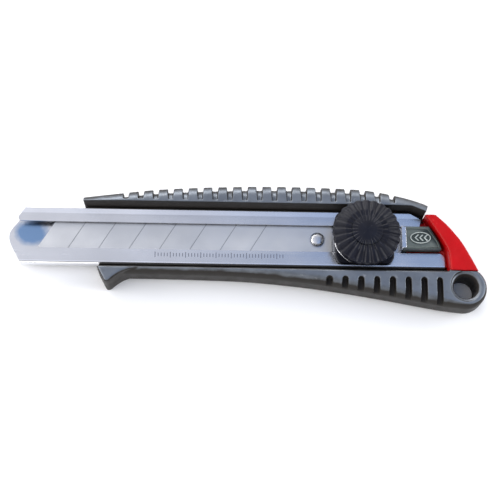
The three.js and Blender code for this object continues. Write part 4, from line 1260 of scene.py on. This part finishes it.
def sky():
    """A soft studio dome: straight above it runs from pearly on the left to blue on the right.

    Lower down it is pale all round. It is brightest above and behind, with a strip overhead.
    """
    world = bpy.data.worlds.new("studio")
    bpy.context.scene.world = world
    world.use_nodes = True
    tree = world.node_tree
    nodes, links = tree.nodes, tree.links
    way = nodes.new("ShaderNodeTexCoord").outputs["Generated"]
    parts = nodes.new("ShaderNodeSeparateXYZ")
    links.new(way, parts.inputs["Vector"])

    def eased_over(value, low, high, start, end):
        return ranged(tree, value, low, high, start, end, "SMOOTHSTEP")

    across = nodes.new("ShaderNodeValToRGB")
    links.new(eased_over(parts.outputs["X"], -0.3, 0.3, 0.0, 1.0), across.inputs["Fac"])
    tones = across.color_ramp.elements
    tones[0].position, tones[0].color = 0.2, (0.8, 0.82, 0.9, 1)
    tones[1].position, tones[1].color = 0.86, (0.3, 0.42, 0.68, 1)
    for position, colour in ((0.42, (0.64, 0.66, 0.74, 1)), (0.56, (0.52, 0.57, 0.7, 1)),
                             (0.74, (0.22, 0.33, 0.58, 1))):
        tones.new(position).color = colour
    high = eased_over(parts.outputs["Z"], 0.78, 0.9, 0.0, 1.0)
    panel = nodes.new("ShaderNodeMix")
    panel.data_type = "RGBA"
    links.new(high, panel.inputs["Factor"])
    panel.inputs[6].default_value = (0.84, 0.84, 0.86, 1)
    links.new(across.outputs["Color"], panel.inputs[7])
    backwards = computed(tree, "MULTIPLY", parts.outputs["Y"], 0.6)
    lean = computed(tree, "ADD", backwards, parts.outputs["Z"])
    strip = computed(tree, "MULTIPLY", eased_over(parts.outputs["Y"], 0.16, 0.0, 0.0, 0.5),
                     eased_over(parts.outputs["Y"], -0.4, -0.22, 0.0, 1.0))
    overhead = computed(tree, "MULTIPLY", strip, high)
    background = nodes["Background"]
    links.new(panel.outputs[2], background.inputs["Color"])
    strength = computed(tree, "ADD", eased_over(lean, 0.0, 0.95, 0.12, 1.0), overhead)
    links.new(strength, background.inputs["Strength"])


LAMPS = {  # place and size in metres, power in watts, colour
    "key": ((-0.6, 1.5, 0.8), (2.2, 0.9), 30, (1, 0.98, 0.96)),
    "left": ((-1.5, -0.2, 0.8), (1.2, 0.8), 18, (1, 0.98, 0.96)),
    "right": ((1.5, 0.1, 0.8), (1.2, 0.8), 18, (0.97, 0.98, 1)),
    "front": ((-0.3, -1.6, 0.7), (2.4, 0.6), 16, (1, 0.99, 0.98)),
}


def lights():
    sky()
    for name, lamp in LAMPS.items():
        area_light(name, *lamp)


CAMERA_TILT = 17.1  # degrees from straight above, towards -Y
CAMERA_YAW = -1.5
CAMERA_ROLL = 0.5
CAMERA_DISTANCE = 0.386
CAMERA_AIM = (0.15, -4.27)  # on the channel's lips, millimetres from the datum
CAMERA_LENS = 84.4


def camera():
    tilt, yaw, roll = (math.radians(angle) for angle in (CAMERA_TILT, CAMERA_YAW, CAMERA_ROLL))
    back = Vector((math.sin(yaw) * math.cos(tilt), -math.sin(tilt), math.cos(yaw) * math.cos(tilt)))
    right = Vector((0, 1, 0)).cross(back).normalized()
    up = back.cross(right)
    turned_right = right * math.cos(roll) + up * math.sin(roll)
    turned_up = up * math.cos(roll) - right * math.sin(roll)
    aim = Vector((*CAMERA_AIM, LIP_TOP)) * MM + DATUM
    lens = bpy.data.cameras.new("camera")
    lens.lens = CAMERA_LENS
    lens.sensor_width = 36
    eye = linked("camera", lens)
    rotation = Matrix((turned_right, turned_up, back)).transposed().to_4x4()
    eye.matrix_world = Matrix.Translation(aim + back * CAMERA_DISTANCE) @ rotation
    bpy.context.scene.camera = eye


# ---- Build ----

camera()
stage()
lights()
for node_name in frame["nodes"]:
    finish_node(node_name)
handle_casting()
blade_channel()
knob_skin()
knob_dome()
slide_shoe()
clamp_washer()
blade_pin()
end_cap()
cap_plug()
cap_emblem()
cap_clip()
channel_rivets()

bpy.context.scene.view_settings.view_transform = "Standard"
